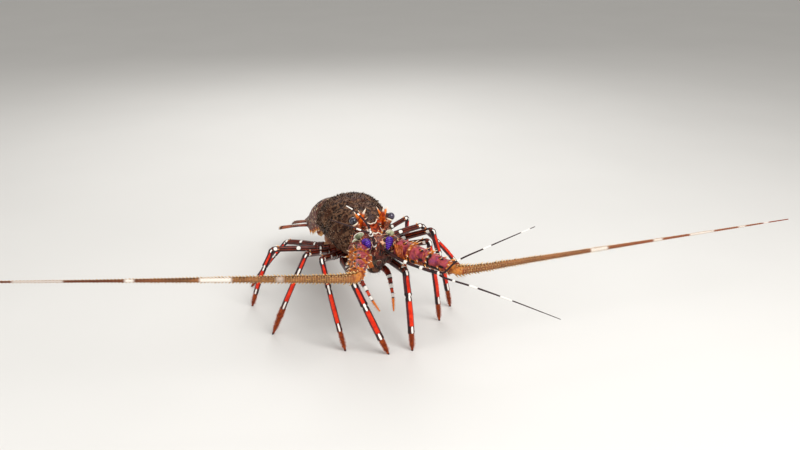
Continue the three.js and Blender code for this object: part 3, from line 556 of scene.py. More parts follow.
shell_rows = np.linspace(0, 1, 150)
under_right = math.pi + np.arcsin(np.linspace(0.06, 0.9999, 16))
angles = np.concatenate([np.linspace(0, math.pi, 97), under_right, 3 * math.pi - under_right[::-1]])
shell_rings = shell_point(shell_rows[:, None], angles[None, :])
outward = np.nan_to_num(shell_outward(shell_rows[:, None], angles[None, :]))
warts = lumps(shell_rings, 0.32) + 0.6 * lumps(shell_rings, 0.8)
shell_rings = shell_rings + outward * (WART_HEIGHT * warts - 0.1)[..., None]
shell_coat = np.clip(np.sin(angles) * 1.5 + 1.0, 0, 1)
carapace = skin("carapace_shell", shell_rings, shell_rows, angles, coat=shell_coat)
shell = Finish("dark_shell", "1a0d07", 0.6, specular=0.14)
along, _, top = shell.place()
mottle = shell.noise(70.0, 5.0)
shell.lay(mottle.step(0.38, 0.62), "4a2a1a")
# Painted highlight: a paler grey-mauve sheen in patches over the top of the shell.
shell.lay(top.step(0.6, 1.0) * shell.noise(45.0, 3.0).step(0.3, 0.65) * 0.7, "54403e")
shell.cloud(330.0, 2.0, 0.47, 0.57, "7e5a42", 0.8)
shell.lay(along.step(0.95, 0.99), "6b3a26")
shell_material = shell.done(bump=(420.0, 4.0), roughness=mottle.step(0.2, 0.8) * 0.25 + 0.42)
settle(carapace, "shell", shell_material, "carapace")

roots, aims, lengths = [], [], []
for degrees, first, last, count, long, short in SPINE_ROWS:
    for side in (LEFT, RIGHT):
        for i in range(count):
            share = first + (last - first) * i / (count - 1)
            upright = math.radians(degrees + 4 * (vary(1) - 1))
            angle = upright if side == LEFT else math.pi - upright
            lengths.append((long + (short - long) * i / (count - 1)) * vary(0.15))
            out = shell_outward(share, angle) + FORWARD * SPINE_LEAN
            roots.append(shell_point(share, angle) - unit(out) * SPINE_SUNK)
            aims.append(out)
lengths = np.array(lengths)
spine_material = graded("shell_spine", "2a130c", 0.4, (0.1, 0.5, "8e4a2a"), (0.5, 0.8, "ecd0aa"))
spines("carapace_spines", "shell", spine_material, roots, aims, FORWARD, lengths + SPINE_SUNK,
       lengths * SPINE_SHARE, sides=9, steps=6, bend=1.25)
tuft_material = speckled("shell_tuft", 0.1, 0.9, "f0d0b0")
bristles("carapace_prickles", "shell", tuft_material, carapace, 2.3, 1.6, 3.4, 0.46, (0, -0.8, 0.1), 7,
         sides=5, steps=3, bend=1.1)
felt_material = speckled("shell_felt", 0.2, 1.0, "ecc8a4")
bristles("carapace_felt", "shell", felt_material, carapace, 0.85, 0.9, 2.5, 0.11, (0, -0.8, 0.1), 23,
         bend=0.9)

# The head in front of the shell carries collars for the eyestalks and feelers. Its chitin is
# red-brown with orange and pale veins, and short amber prickles stand on it.
HEAD = ((-49.6, 18, 93.5), (-57, 18.5, 93.5), (-63, 16.5, 91), (-67.5, 11, 86), (-68.4, 5, 82))
HEAD_FLOOR = 65.0
HEAD_WIDEST_AT = 0.55
STALK_ROOT = np.array([10.6, -55.4, 92.8])
STALK_END = np.array([14.6, -53.6, 99.6])
STALK_COLLAR = 6.0
ANTENNULE_ROOT = np.array([2.9, -66, 80.2])
ANTENNULE_COLLAR = 4.0
ANTENNULES = {
    "left": dict(side=LEFT, stem=(36.1, -108, 71.6), bow=(-0.6, 0, -2.4), joints=(0.39, 0.675),
                 lower=((60.5, -118, 60.6), (86.5, -124, 48.8), (133, -130, 25)),
                 upper=((47.5, -114, 82.5), (68.5, -122, 94.3), (105.5, -128, 108.5))),
    "right": dict(side=RIGHT, stem=(-17.3, -99.5, 110.5), bow=(1.6, 0, -0.4), joints=(0.2, 0.84),
                  lower=((-25, -106, 115), (-35, -100, 118.5), (-45, -92, 121)),
                  upper=((-22, -101, 121), (-27.5, -95, 127), (-33, -91, 130.6))),
}
ANTENNAE = {  # the roll turns the orange edge of a stem to where the photo has it
    "left": dict(root=(13.5, -61, 79), end=(46.9, -106.9, 74), roll=math.pi / 2,
                 lash=((60, -113, 73.5), (110, -112, 73), (240, -111, 72.5), (370, -110, 72))),
    "right": dict(root=(-13.5, -61, 79), end=(-32.3, -114.7, 84.3), roll=0.0,
                  lash=((-45, -118, 84.8), (-100, -103, 86.5), (-215, -72, 90), (-335, -40, 94))),
}
ANTENNA_COLLAR = 13.0
STEM_JOINTS = (0.12, 0.36, 0.66, 1.0)
STEM_RADII = (8.6, 8.0, 6.6, 5.4)


def circle(sides):
    """Angles round a ring, half a step past its side."""
    return (np.arange(sides) + 0.5) / sides * 2 * math.pi


def sleeve(points, knots, widths, heights, across, sides, bulge=1.0):
    """Rings round a smooth line through the points, at the given knots."""
    centre, ahead = course(points, knots)
    upward = unit(np.cross(np.broadcast_to(across, ahead.shape), ahead))
    sideways = unit(np.cross(ahead, upward))
    angle = circle(sides)
    wide, high = (np.reshape(size, (-1, 1)) * bulge for size in (widths, heights))
    rings = (centre[:, None] + sideways[:, None] * (np.cos(angle) * wide)[..., None]
             + upward[:, None] * (np.sin(angle) * high)[..., None])
    return rings, angle


def rounded(knots, size, first=0.75, last=0.75, reach=0.02):
    """Draws the two ends of a sleeve in to a soft rim."""
    span = (knots - knots[0]) / (knots[-1] - knots[0])
    into = np.clip(span / reach, 0, 1)
    out = np.clip((1 - span) / reach, 0, 1)
    start, end = (rim + (1 - rim) * np.sqrt(t * (2 - t)) for rim, t in ((first, into), (last, out)))
    return size * start * end


def joined(name, pieces):
    """Makes one object of several."""
    for piece in pieces:
        piece.select_set(True)
    with bpy.context.temp_override(active_object=pieces[0], selected_editable_objects=pieces):
        bpy.ops.object.join()
    pieces[0].name = name
    pieces[0].data.name = name
    return pieces[0]


def straight(name, start, end, radii, sides=28, rows=16, reach=0.1):
    """A round collar or joint between two places."""
    knots = np.linspace(0, 1, rows)
    size = rounded(knots, np.interp(knots, np.linspace(0, 1, len(radii)), radii), reach=reach)
    rings, angle = sleeve([start, end], knots, size, size, UP, sides)
    return skin(name, rings, knots, angle)


head_knots = np.linspace(0, len(HEAD) - 1, 60)
y, half, top = course(HEAD, head_knots)[0].T[..., None]
angles = np.concatenate([np.linspace(0, math.pi, 61), math.pi + np.linspace(0.05, math.pi - 0.05, 30)])
middle = HEAD_FLOOR + (top - HEAD_FLOOR) * HEAD_WIDEST_AT
over, aside = np.sin(angles), np.cos(angles)
tuck = np.where(over < 0, 1 - 0.3 * over ** 2, 1)
x = np.sign(aside) * np.abs(aside) ** 0.7 * tuck * half
lift = np.where(over > 0, (top - middle) * np.abs(over) ** 0.8, (middle - HEAD_FLOOR) * over)
head_rings = np.stack([x, np.broadcast_to(y, x.shape), middle + lift], -1)
bumps = lumps(head_rings, 0.35)
head_rings[..., 2] += 0.5 * bumps
head_rings[..., 1] -= 0.7 * bumps * np.linspace(0, 1, len(head_knots))[:, None]
head_coat = np.clip(0.5 + over * 0.8, 0, 1)
head_parts = [skin("head_core", head_rings, head_knots / head_knots[-1], angles, coat=head_coat)]
stalk_line = unit(STALK_END - STALK_ROOT)
for side, sign in SIDES:
    mirror = np.array([sign, 1, 1])
    start = (STALK_ROOT - stalk_line * STALK_COLLAR) * mirror
    head_parts.append(straight("collar", start, STALK_ROOT * mirror, (3.2, 2.6)))
    root = ANTENNULE_ROOT * mirror
    reach = unit(np.array(ANTENNULES[side]["stem"]) - root) * ANTENNULE_COLLAR
    head_parts.append(straight("collar", root - reach, root + reach, (3.0, 2.9, 2.5)))
    root, end = (np.array(ANTENNAE[side][key], float) for key in ("root", "end"))
    face = root + (end - root) * STEM_JOINTS[0]
    start = face - unit(end - root) * ANTENNA_COLLAR
    head_parts.append(straight("collar", start, face, (8.2, 8.6, 9.3, 8.9), sides=40, rows=24))
head = joined("head_shell", head_parts)
face_finish = Finish("face_shell", "1f0d0c", 0.45)
face_finish.cloud(170.0, 4.0, 0.4, 0.6, "6a2618")
face_finish.cloud(110.0, 3.0, 0.58, 0.66, "8d8468", 0.7)
face_finish.lay(face_finish.veins(240.0), "a03c1c")
face_finish.lay(face_finish.veins(150.0), "d8a682")
# Painted shade: the head is painted much darker, towards near black, from 80 mm down to 70 mm and below, as
# shadow over the mouth field.
height = face_finish.add("ShaderNodeSeparateXYZ", sockets={0: face_finish.here}).other("Z")
face_finish.lay(height.step(0.08, 0.07) * 0.8, "150808")
settle(head, "face", face_finish.done(bump=(500.0, 3.0)), "head")
amber_material = graded("amber_spine", "a03410", 0.35, (0.0, 0.4, "e08a2c"), (0.4, 0.75, "fff0d2"))
bristles("head_prickles", "face", amber_material, head, 2.4, 0.9, 2.4, 0.36, (0, -0.5, 0.2), 31,
         sides=5, steps=3, bend=0.9)

# Each rasp is a smooth violet cushion of chitin, finely ribbed across and broad above, on which the
# feeler's root rubs. A fan of raised orange ribs stands between it and the antenna.
RASPS = {"left": (7.9, -67.4, 84.2), "right": (-9.6, -66.8, 84.8)}
RASP_SIZE = (3.0, 2.6, 6.4)
RASP_TILT = 0.3
RASP_RIDGES = 75.0
RIB_FANS = {  # upper end of the first rib and the step to the next, then the same of the lower ends
    "left": ((12.4, -71.0, 85.0), (1.7, -0.9, -0.2), (15.2, -79.0, 72.0), (0.9, -0.9, 0.3)),
    "right": ((-10.2, -69.5, 77.5), (1.1, -0.4, 0.0), (-8.4, -73.5, 68.0), (0.8, -0.3, 0.2)),
}
CUSHION_SIDES = 40
CUSHION_END = math.pi / 2 - 0.02


def cushion(place, size, tilt, rows, ripple=0.0, taper=0.0, curl=0.0):
    """Rings of a leaning oval cushion, the angles round it, and how far each point faces forward."""
    levels = np.linspace(-CUSHION_END, CUSHION_END, rows)[:, None]
    turn = np.linspace(0, 2 * math.pi, CUSHION_SIDES, endpoint=False)
    wave = 1 + ripple * np.sin(levels * 46)
    x = np.cos(levels) * np.cos(turn) * size[0] * wave * (1 + taper * np.sin(levels))
    y = np.cos(levels) * np.sin(turn) * size[1] * wave
    z = np.broadcast_to(np.sin(levels) * size[2], x.shape)
    x = x + curl * np.cos(z / size[2] * 1.4)
    cosine, sine = math.cos(tilt), math.sin(tilt)
    turned = np.stack([x, y, z], -1) @ np.array([[cosine, 0, -sine], [0, 1, 0], [sine, 0, cosine]])
    return turned + np.array(place), turn, 0.5 - 0.5 * y / size[1]


rasp_finish = Finish("rasp", "2a0664", 0.25, varnish=0.4)
ridges = (rasp_finish.place()[0] * RASP_RIDGES).sine() * 0.5 + 0.5
# Painted highlight: paler violet on the crests of the ridges, in patches.
rasp_finish.lay(ridges * rasp_finish.noise(300.0).step(0.3, 0.6), "6c2ecc")
rasp_material = rasp_finish.done(bump=ridges, depth=0.0003)
rib_material = Finish("orange_rib", "7c2a0a", 0.4).cloud(300.0, 3.0, 0.35, 0.65, "bc6020").done()
for side, sign in SIDES:
    rings, turn, _ = cushion(RASPS[side], RASP_SIZE, sign * RASP_TILT, 90, ripple=0.02, taper=0.62, curl=1.0)
    settle(skin("rasp_" + side, rings, np.linspace(0, 1, len(rings)), turn), "face", rasp_material)
    ribs = []
    first_top, top_step, first_low, low_step = (np.array(place) for place in RIB_FANS[side])
    for i in range(4):
        top, low = first_top + top_step * i, first_low + low_step * i
        bow = (top + low) / 2 + [-0.8 - 0.3 * i, -1.4, 0]
        knots = np.linspace(0, 2, 26)
        size = rounded(knots, np.interp(knots, (0, 1, 2), (1.0, 0.95, 0.6)), 0.2, 0.2, 0.3)
        rings, angle = sleeve([top, bow, low], knots, size, size * 1.5, ACROSS, 12)
        ribs.append(skin("rib", rings, knots / 2, angle))
    settle(joined("face_ribs_" + side, ribs), "face", rib_material)

# A hem runs from horn to horn over the plate, sharp and white-edged. Smooth pads lie under the eyes,
# dark red-brown with a cream rim line and pale green fronts; the pale green is a painted highlight.
# Small lipped plates cover the face down to the mouth: pale-rimmed, on a near-black ground that is
# painted shade.
BROW = ((-8.2, -51, 97.5), (-5.5, -53.5, 97.6), (-2.1, -55, 96.8), (0.6, -54.4, 97.2), (3.2, -53.4, 98.4),
        (6.5, -52, 98.2), (8.6, -51, 97.5))
EYE_PADS = (  # place, size, degrees of lean
    ((-13.4, -59.5, 91.0), (4.4, 2.4, 2.8), -14), ((12.0, -61.0, 90.5), (3.8, 2.4, 2.8), 20),
    ((-17.0, -60.5, 86.0), (2.6, 2.0, 3.4), 10),
)
LIP_PLATES = (
    ((4.6, -67.6, 74.0), (3.4, 2.0, 2.4), -30), ((-4.6, -67.6, 74.0), (3.4, 2.0, 2.4), 30),
    ((8.6, -66.8, 70.0), (2.8, 2.0, 3.4), -15), ((-8.6, -66.8, 70.0), (2.8, 2.0, 3.4), 15),
    ((0.2, -68.2, 69.0), (2.6, 1.6, 2.6), 5),
)
knots = np.linspace(0, len(BROW) - 1, 120)
high = rounded(knots, 2.0 + 0.35 * np.sin(knots * 5), 0.2, 0.2, 0.08)
rings, angle = sleeve(BROW, knots, 0.45 + 0.15 * high, high, ACROSS, 24)
brow_finish = Finish("brow_shell", "3a100e", 0.4).cloud(320.0, 3.0, 0.4, 0.6, "b8441c")
brow_material = brow_finish.lay(brow_finish.place()[2].size().step(0.8, 0.93), "f4e2cc").done()
settle(skin("brow_hem", rings, knots / knots[-1], angle), "face", brow_material)
# Painted highlight: the pale green on the front of each pad. Behind it the pad is dark red-brown, with a
# cream band just behind the front.
pad_finish = Finish("face_pad", "5c6248", 0.35).cloud(280.0, 3.0, 0.38, 0.62, "b8ba94")
facing = pad_finish.place()[0]
pad_finish.lay(facing.step(0.76, 0.7), "2a0f0c").lay(facing.band(0.55, 0.69, 0.02), "f4ead8")
pad_material = pad_finish.done(bump=(500.0, 2.0))
# Painted shade: the near-black ground of the lip plates. Their brown clouds and pale rim band are their own
# colour.
lip_finish = Finish("face_lip", "1c0a0a", 0.4).cloud(300.0, 3.0, 0.38, 0.62, "57281c")
lip_finish.lay(lip_finish.place()[0].band(0.56, 0.66, 0.02), "d9c4a4")
lip_material = lip_finish.done(bump=(500.0, 2.0))
pads = [(pad_material, *pad) for pad in EYE_PADS] + [(lip_material, *plate) for plate in LIP_PLATES]
for number, (material, place, size, degrees) in enumerate(pads, 1):
    rings, turn, facing = cushion(place, size, math.radians(degrees), 48)
    settle(skin(f"face_pad_{number}", rings, facing, turn), "face", material)

# The antennular plate lies between the horns. Its front rim is cut in a W, edged white, and six
# spines stand on it.
PLATE_SLOPE = math.radians(23)
PLATE_PLACE = np.array([0, -56, 92.0])
PLATE_OUTLINE = ((-5.6, 5), (-6.2, -4.5), (-4.4, -7.5), (-2.2, -5), (0, -6.4), (2.2, -5), (4.4, -7.5),
                 (6.2, -4.5), (5.6, 5))
PLATE_LAYERS = (  # height and scale of the outline, from the underside up and in to the middle
    (0.3, 0.96), (0.5, 1.0), (2.5, 1.0), (2.9, 0.97), (3.05, 0.9), (3.0, 0.8), (3.1, 0.6), (3.3, 0.4),
    (3.4, 0.2),
)
PLATE_SPINES = ((4.4, -6.2, 4.6, 1), (2.2, -4, 2.6, 0.7), (5.4, 1, 3, 0.8))
PLATE_SPINE_ROOT = 2.6


def on_plate(x, y, z):
    """A place over the sloping plate."""
    cosine, sine = math.cos(PLATE_SLOPE), math.sin(PLATE_SLOPE)
    return np.stack([x, y * cosine - z * sine, y * sine + z * cosine], -1) + PLATE_PLACE


loop = np.array(PLATE_OUTLINE, float)
steps = np.linspace(0, 1, 8, endpoint=False)[:, None]
rim = np.concatenate([a + (b - a) * steps for a, b in zip(loop, np.roll(loop, -1, axis=0))])
x, y = rim.T
rings = np.stack([on_plate(x * scale, y * scale, np.full(len(rim), z)) for z, scale in PLATE_LAYERS])
plate = skin("antennular_shield", rings, [1 - scale for _, scale in PLATE_LAYERS], np.arctan2(y, x))
plate_finish = Finish("plate_shell", "4a1210", 0.4).cloud(320.0, 3.0, 0.4, 0.6, "b0441c")
inner, _, front = plate_finish.place()
plate_finish.lay(inner.step(0.13, 0.06) * front.step(0.6, 0.2), "f3e6d4")
settle(plate, "face", plate_finish.done(), "antennular_plate")
signs, xs, ys, lengths, girths = np.array([(s, *spine) for spine in PLATE_SPINES for s in (LEFT, RIGHT)]).T
roots = on_plate(signs * xs, ys, PLATE_SPINE_ROOT)
aims = [(sign * 0.2, -0.5, 1.0) for sign in signs]
spines("plate_spines", "face", amber_material, roots, aims, FORWARD, lengths, girths, bend=1.0)

# A horn curves up over each eye: orange chitin, laterally pressed, white at the tip, with smaller
# prongs round its root that guard the eye.
HORN_ROOT = np.array([9.8, -48.2, 96.8])
HORN_LINE = unit(np.array([-2, -10, 13.4]))
HORN_LENGTH = 17.0
HORN_PATH = ((-0.3, 0), (0, 0), (0.35, 0), (0.7, 0.3), (1, 1.4))
HORN_RADII = (4.1, 3.6, 2.6, 1.5, 0.25)
HORN_PRONGS = (  # share of the horn, direction and length, girth
    (0.24, (5.6, 0.6, 7.4), 1.8), (0.17, (6.6, 1.2, -1.8), 1.6), (0.1, (-5.4, -3.8, 3.4), 1.6),
    (0.36, (-5.2, 1.0, 7.6), 1.5), (0.05, (2.5, -7.4, 0.4), 1.7), (0.5, (3.4, -1.6, 6.4), 1.1),
)
horn_finish = Finish("horn_shell", "a42c08", 0.35).cloud(260.0, 3.0, 0.35, 0.65, "e86a18")
along, aside, top = horn_finish.place()
# Painted shade: a dark red-brown strip along the underside of the horn.
horn_finish.lay(aside.size().step(0.3, 0.05) * top.step(0.2, -0.2), "4a1410")
horn_finish.lay(along.step(0.74, 0.88), "fff3e0")
horn_material = horn_finish.done(bump=(420.0, 2.0))
prong_material = graded("horn_prong", "c23a10", 0.35, (0.0, 0.5, "f58428"), (0.6, 0.85, "fff0d8"))
for side, sign in SIDES:
    mirror = np.array([sign, 1, 1])
    root, line = HORN_ROOT * mirror, HORN_LINE * mirror
    knots = np.linspace(0, 4, 48)
    size = np.interp(knots, range(5), HORN_RADII)
    path = [root + line * share * HORN_LENGTH + UP * rise for share, rise in HORN_PATH]
    rings, angle = sleeve(path, knots, size, size * 0.94, UP, 28)
    horn = skin(f"horn_{side}_shell", rings, np.clip(knots / 4 * 1.25 - 0.25, 0, 1), angle)
    settle(horn, "horn", horn_material, "horn_" + side)
    roots = [root + line * share * HORN_LENGTH for share, _, _ in HORN_PRONGS]
    aims = [np.array(tip) * mirror for _, tip, _ in HORN_PRONGS]
    spines(f"horn_{side}_prongs", "horn", prong_material, roots, aims, UP, np.linalg.norm(aims, axis=1) + 1,
           [girth for _, _, girth in HORN_PRONGS], sides=10, steps=7, bend=0.75)

# The eyes are glossy dark violet balls on short movable stalks, set in a pale ring.
EYE_RADIUS = 3.3
EYE_DEPTH = 5.0
EYE_SUNK = 0.57
STALK_RADII = (1.9, 2.0, 2.1, 2.5, 2.6)
eye_finish = Finish("eye", "17131d", 0.08, varnish=0.8).cloud(180.0, 2.0, 0.35, 0.7, "453a52")
eye_material = eye_finish.done(bump=eye_finish.cells(3200.0), depth=0.00003)
stalk_finish = Finish("stalk", "4a1c12", 0.45).cloud(300.0, 2.0, 0.4, 0.6, "96502e")
stalk_material = stalk_finish.lay(stalk_finish.place()[0].step(0.78, 0.9), "e9dcc2").done()
for side, sign in SIDES:
    mirror = np.array([sign, 1, 1])
    root, end = STALK_ROOT * mirror, STALK_END * mirror
    line = unit(end - root)
    stalk = straight(f"eye_{side}_stem", root - line * 0.6, end + line * 0.4, STALK_RADII)
    settle(stalk, "stalk", stalk_material, "eyestalk_" + side)
    tilt = np.linspace(math.radians(-52), math.radians(89.5), 40)[:, None]
    lift = EYE_DEPTH / (1 + EYE_SUNK) * (np.sin(tilt) + EYE_SUNK) + 0.3
    side_axis = unit(np.cross(UP, line))
    top_axis = np.cross(line, side_axis)
    turn = np.linspace(0, 2 * math.pi, 48, endpoint=False)
    rings = (end + line * lift[..., None] + side_axis * (EYE_RADIUS * np.cos(tilt) * np.cos(turn))[..., None]
             + top_axis * (EYE_RADIUS * np.cos(tilt) * np.sin(turn))[..., None])
    settle(skin(f"eye_{side}_ball", rings, np.linspace(0, 1, 40), turn), "eye", eye_material, "eye_" + side)

# The antennules are thin feelers: a three-jointed stem and two ringed lashes each, near black with
# bright white bands at the joints and along the lashes.
FEELER_RADII = ((0, 1.5), (0.3, 1.3), (0.6, 1.1), (0.95, 1.45), (1, 1.35))
FEELER_LASH_RADII = (0.8, 0.8, 0.72, 0.56, 0.28)
FEELER_RINGS = 21
WHITE_BANDS = {
    "left_upper": ((0.215, 0.25), (0.48, 0.56), (0.86, 0.95)),
    "left_lower": ((0.1, 0.12), (0.225, 0.29), (0.47, 0.57)),
    "right_upper": ((0.02, 0.1), (0.56, 0.62), (0.79, 0.97)),
    "right_lower": ((0.03, 0.09), (0.34, 0.43)),
}


def run_to(spots):
    """The way run along a row of places, to each of them."""
    return np.concatenate([[0], np.cumsum(np.linalg.norm(np.diff(spots, axis=0), axis=1))])


def feeler_finish(side, joints):
    finish = Finish(f"antennule_{side}_stalk", "0e0607", 0.4).cloud(240.0, 2.0, 0.4, 0.6, "381416")
    along = finish.place()[0]
    white = along.band(0.965, 1.1, 0.006)
    for joint in joints:
        white = white.most(along.band(joint - 0.02, joint + 0.03, 0.008))
    return finish.lay(white, "f4efe6").done()


def feeler_lash_finish(name):
    finish = Finish(f"antennule_{name}_lash", "160a0c", 0.4)
    along = finish.place()[0]
    finish.lay((along * 560.0).sine().step(0.2, 0.9), "451a1c")
    for low, high in WHITE_BANDS[name]:
        finish.lay(along.band(low, high, 0.004), "f6f2ea")
    return finish.done()


for side, spec in ANTENNULES.items():
    root = ANTENNULE_ROOT * [spec["side"], 1, 1]
    end = np.array(spec["stem"], float)
    line = unit(end - root)
    root = root + line * ANTENNULE_COLLAR
    knots = np.linspace(0, 1, 120)
    size = np.interp(knots, *zip(*FEELER_RADII))
    for joint in spec["joints"]:
        size = size * (1 + 0.25 * peak(knots, joint, 0.025) - 0.2 * peak(knots, joint + 0.03, 0.01))
    third, bow = (end - root) / 3, np.array(spec["bow"])
    stem_line = [root - line * 0.4, root + third + bow, root + third * 2 + bow * 0.8, end + line * 0.3]
    rings, angle = sleeve(stem_line, knots * 3, size, size, UP, 20)
    stem = skin(f"antennule_{side}_stalk", rings, knots, angle)
    settle(stem, "antennule", feeler_finish(side, spec["joints"]), f"antennule_{side}_stem")
    fork = unit(UP - line * (UP @ line))
    for name, sign in (("upper", 1), ("lower", -1)):
        foot = end + fork * sign * 1.05 + line * 0.1
        points = [foot, foot + line * 3 + fork * sign * 0.8, *spec[name]]
        knots = np.linspace(0, 4, 420)
        size = np.interp(knots, range(5), FEELER_LASH_RADII)
        size = size * (1 + 0.07 * np.sin(knots * 2 * math.pi * FEELER_RINGS))
        rings, angle = sleeve(points, knots, size, size, ACROSS, 10)
        run = run_to(rings.mean(1))
        lash = skin(f"antennule_{side}_{name}_lash", rings, run / run[-1], angle)
        settle(lash, "antennule", feeler_lash_finish(f"{side}_{name}"), f"antennule_{side}_{name}")

# The antenna's stem has three heavy joints of ridged chitin. The faces are magenta with black
# spots, the edges orange, and every rim carries a wreath of amber spines with pale tips.
STEM_SPOTS = (  # share of the joint, cosine and sine round it
    (0.5, 0.3, 0.95), (0.58, -0.9, 0.42), (0.64, 0.98, 0.1), (0.28, 0.93, -0.36), (0.5, -0.4, -0.92),
)
STEM_SIDES = 56
stem_finish = Finish("antenna_stem", "6c1628", 0.4).cloud(230.0, 4.0, 0.38, 0.62, "a8424a")
stem_finish.cloud(120.0, 3.0, 0.58, 0.68, "7a3c78", 0.4)
along, aside, top = stem_finish.place()
orange = stem_finish.patches(280.0, 3.0, 0.35, 0.65, "76280a", "c46c1e")
ragged = (stem_finish.noise(160.0, 3.0) - 0.5) * 0.35
edges = (along + ragged).step(0.1, 0.04).most((along + ragged).step(0.88, 0.94))
edges = edges.most((top + ragged * 2.0).step(-0.02, -0.22))
stem_finish.lay(edges, orange).lay(stem_finish.veins(190.0) * 0.8, orange)
stem_finish.lay(edges * stem_finish.noise(150.0, 2.0).step(0.52, 0.58), "220a08")
for share, aside_at, top_at in STEM_SPOTS:
    apart = ((aside - aside_at) / 0.2) ** 2.0 + ((top - top_at) / 0.2) ** 2.0
    apart = ((along - share) / 0.12) ** 2.0 + apart
    stem_finish.lay(apart.step(1.1, 0.75), "120609")
stem_material = stem_finish.done(bump=(380.0, 4.0), depth=0.0003)
for side, spec in ANTENNAE.items():
    root, end = np.array(spec["root"], float), np.array(spec["end"], float)
    ahead = unit(end - root)
    across = unit(np.cross(ahead, UP))
    upward = np.cross(across, ahead)
    thorns = []
    for joint in range(3):
        low = root + (end - root) * STEM_JOINTS[joint]
        high = root + (end - root) * STEM_JOINTS[joint + 1] + ahead * 0.3
        near, far = STEM_RADII[joint], STEM_RADII[joint + 1]
        middle = (near + far) / 2
        knots = np.linspace(0, 1, 64)
        size = np.interp(knots, (0, 0.06, 0.12, 0.5, 0.74, 0.82, 0.9, 1), (
            near * 0.82, near * 0.93, near * 0.97, (near + far) * 0.48, far * 0.97, far * 1.06, far * 1.05,
            far * 0.92))
        bulge = 1 + 0.035 * np.cos(6 * circle(STEM_SIDES)) * np.sin(knots * math.pi)[:, None]
        rings, angle = sleeve([low, high], knots, size, size, UP, STEM_SIDES, bulge)
        centre = rings.mean(1, keepdims=True)
        rings = centre + (rings - centre) * (1 + 0.05 * lumps(rings, 0.55)[..., None])
        edge = (np.abs(np.sin(angle)) < 0.35) * ((knots > 0.1) & (knots < 0.95))[:, None]
        coat = 0.15 + 0.85 * edge
        stem = skin(f"antenna_{side}_stem_{joint + 1}", rings, knots, angle + spec["roll"], coat)
        settle(stem, "antenna_stem", stem_material, f"antenna_{side}_joint_{joint + 1}")
        bristles(f"antenna_{side}_prickles_{joint + 1}", "antenna_stem", amber_material, stem, 2.5, 0.7, 1.7,
                 0.3, ahead * 0.7, 40 + joint, sides=5, steps=3, bend=0.6)
        for share, radius, count, long, girth in ((0.86, far, 12, 0.66, 1.0), (0.45, middle, 5, 0.42, 0.75)):
            for i in range(count):
                angle = (i + 0.5 + share) / count * 2 * math.pi
                out = across * math.cos(angle) + upward * math.sin(angle)
                length = (long + 0.2 * math.sin(angle)) * radius * vary(0.15) + 0.8
                place = low + (high - low) * share + out * radius * 0.88
                thorns.append((place, out + ahead * 0.75, length, girth))
    roots, aims, lengths, girths = zip(*thorns)
    spines(f"antenna_{side}_thorns", "antenna_stem", amber_material, roots, aims, ahead, lengths, girths,
           sides=8, steps=6, bend=1.0)

# A lash is one long stiff whip of hundreds of rings. It is orange at the root, then brown, and
# redder outwards. Each side has its own white bands, and dense rows of pale spinules.
LASH_RADII = 0.96 * np.array([3.8, 3.8, 3.2, 2.25, 0.95, 0.45])
LASH_RINGS = 1.25
LASH_RIBS = 1150.0
SPINULE_GAP = 2.5
SPINULE_START, SPINULE_STOP = 3.5, 30
SPINULE_ROWS = (  # degrees round the lash, length in radii
    (90, 0.9), (66, 0.45), (38, 0.4), (-90, 0.9), (-122, 0.4), (122, 0.45), (-62, 0.45), (8, 0.35),
    (-28, 0.35),
)
LASH_BANDS = {  # first and last share of the length, strength
    "left": ((0.376, 0.425, 0.9), (0.562, 0.59, 0.9), (0.675, 0.752, 0.9), (0.832, 0.855, 0.9),
             (0.915, 0.932, 0.8)),
    "right": ((0.183, 0.2, 0.35), (0.3, 0.371, 0.9), (0.516, 0.536, 0.9), (0.67, 0.78, 0.6),
              (0.86, 0.88, 0.8), (0.94, 0.955, 0.8)),
}
LASH_TONES = {"left": ("642e14", "985228", "8c3a1c"), "right": ("3c1a0c", "7e4624", "5a2412")}


def paced(points, first, last, count):
    """The way along a smooth line between two knots, and a function from the way run to the knot."""
    fine = np.linspace(first, last, count)
    run = run_to(course(points, fine)[0])
    return run[-1], lambda way: np.interp(way, run, fine)


def whip_finish(side):
    dark, light, outer = LASH_TONES[side]
    finish = Finish(f"antenna_{side}_whip", dark, 0.55)
    along, _, top = finish.place()
    finish.lay(finish.noise(190.0, 4.0, (0.3, 1, 1)).step(0.36, 0.62), light)
    # Painted highlight and shade: paler tan along the top of the lash, darker along its underside.
    finish.lay(top.step(0.4, 0.95) * 0.3, "b07a48").lay(top.step(-0.3, -0.9) * 0.7, dark)
    finish.lay(finish.cells(620.0).step(0.36, 0.24) * along.step(0.5, 0.2) * 0.6, "c8924a")
    finish.lay((along * LASH_RIBS).sine().step(0.2, 0.9) * along.step(0.45, 0.1) * 0.45, "c09458")
    finish.lay(along.step(0.35, 0.6) * 0.8, outer)
    finish.lay(along.step(0.045, 0.01), finish.patches(260.0, 3.0, 0.4, 0.6, "8a3a1a", "cc7c2e"))
    for low, high, strength in LASH_BANDS[side]:
        finish.lay(along.band(low, high, 0.005) * strength, "f4ebe0")
    return finish.done(bump=(700.0, 2.0))


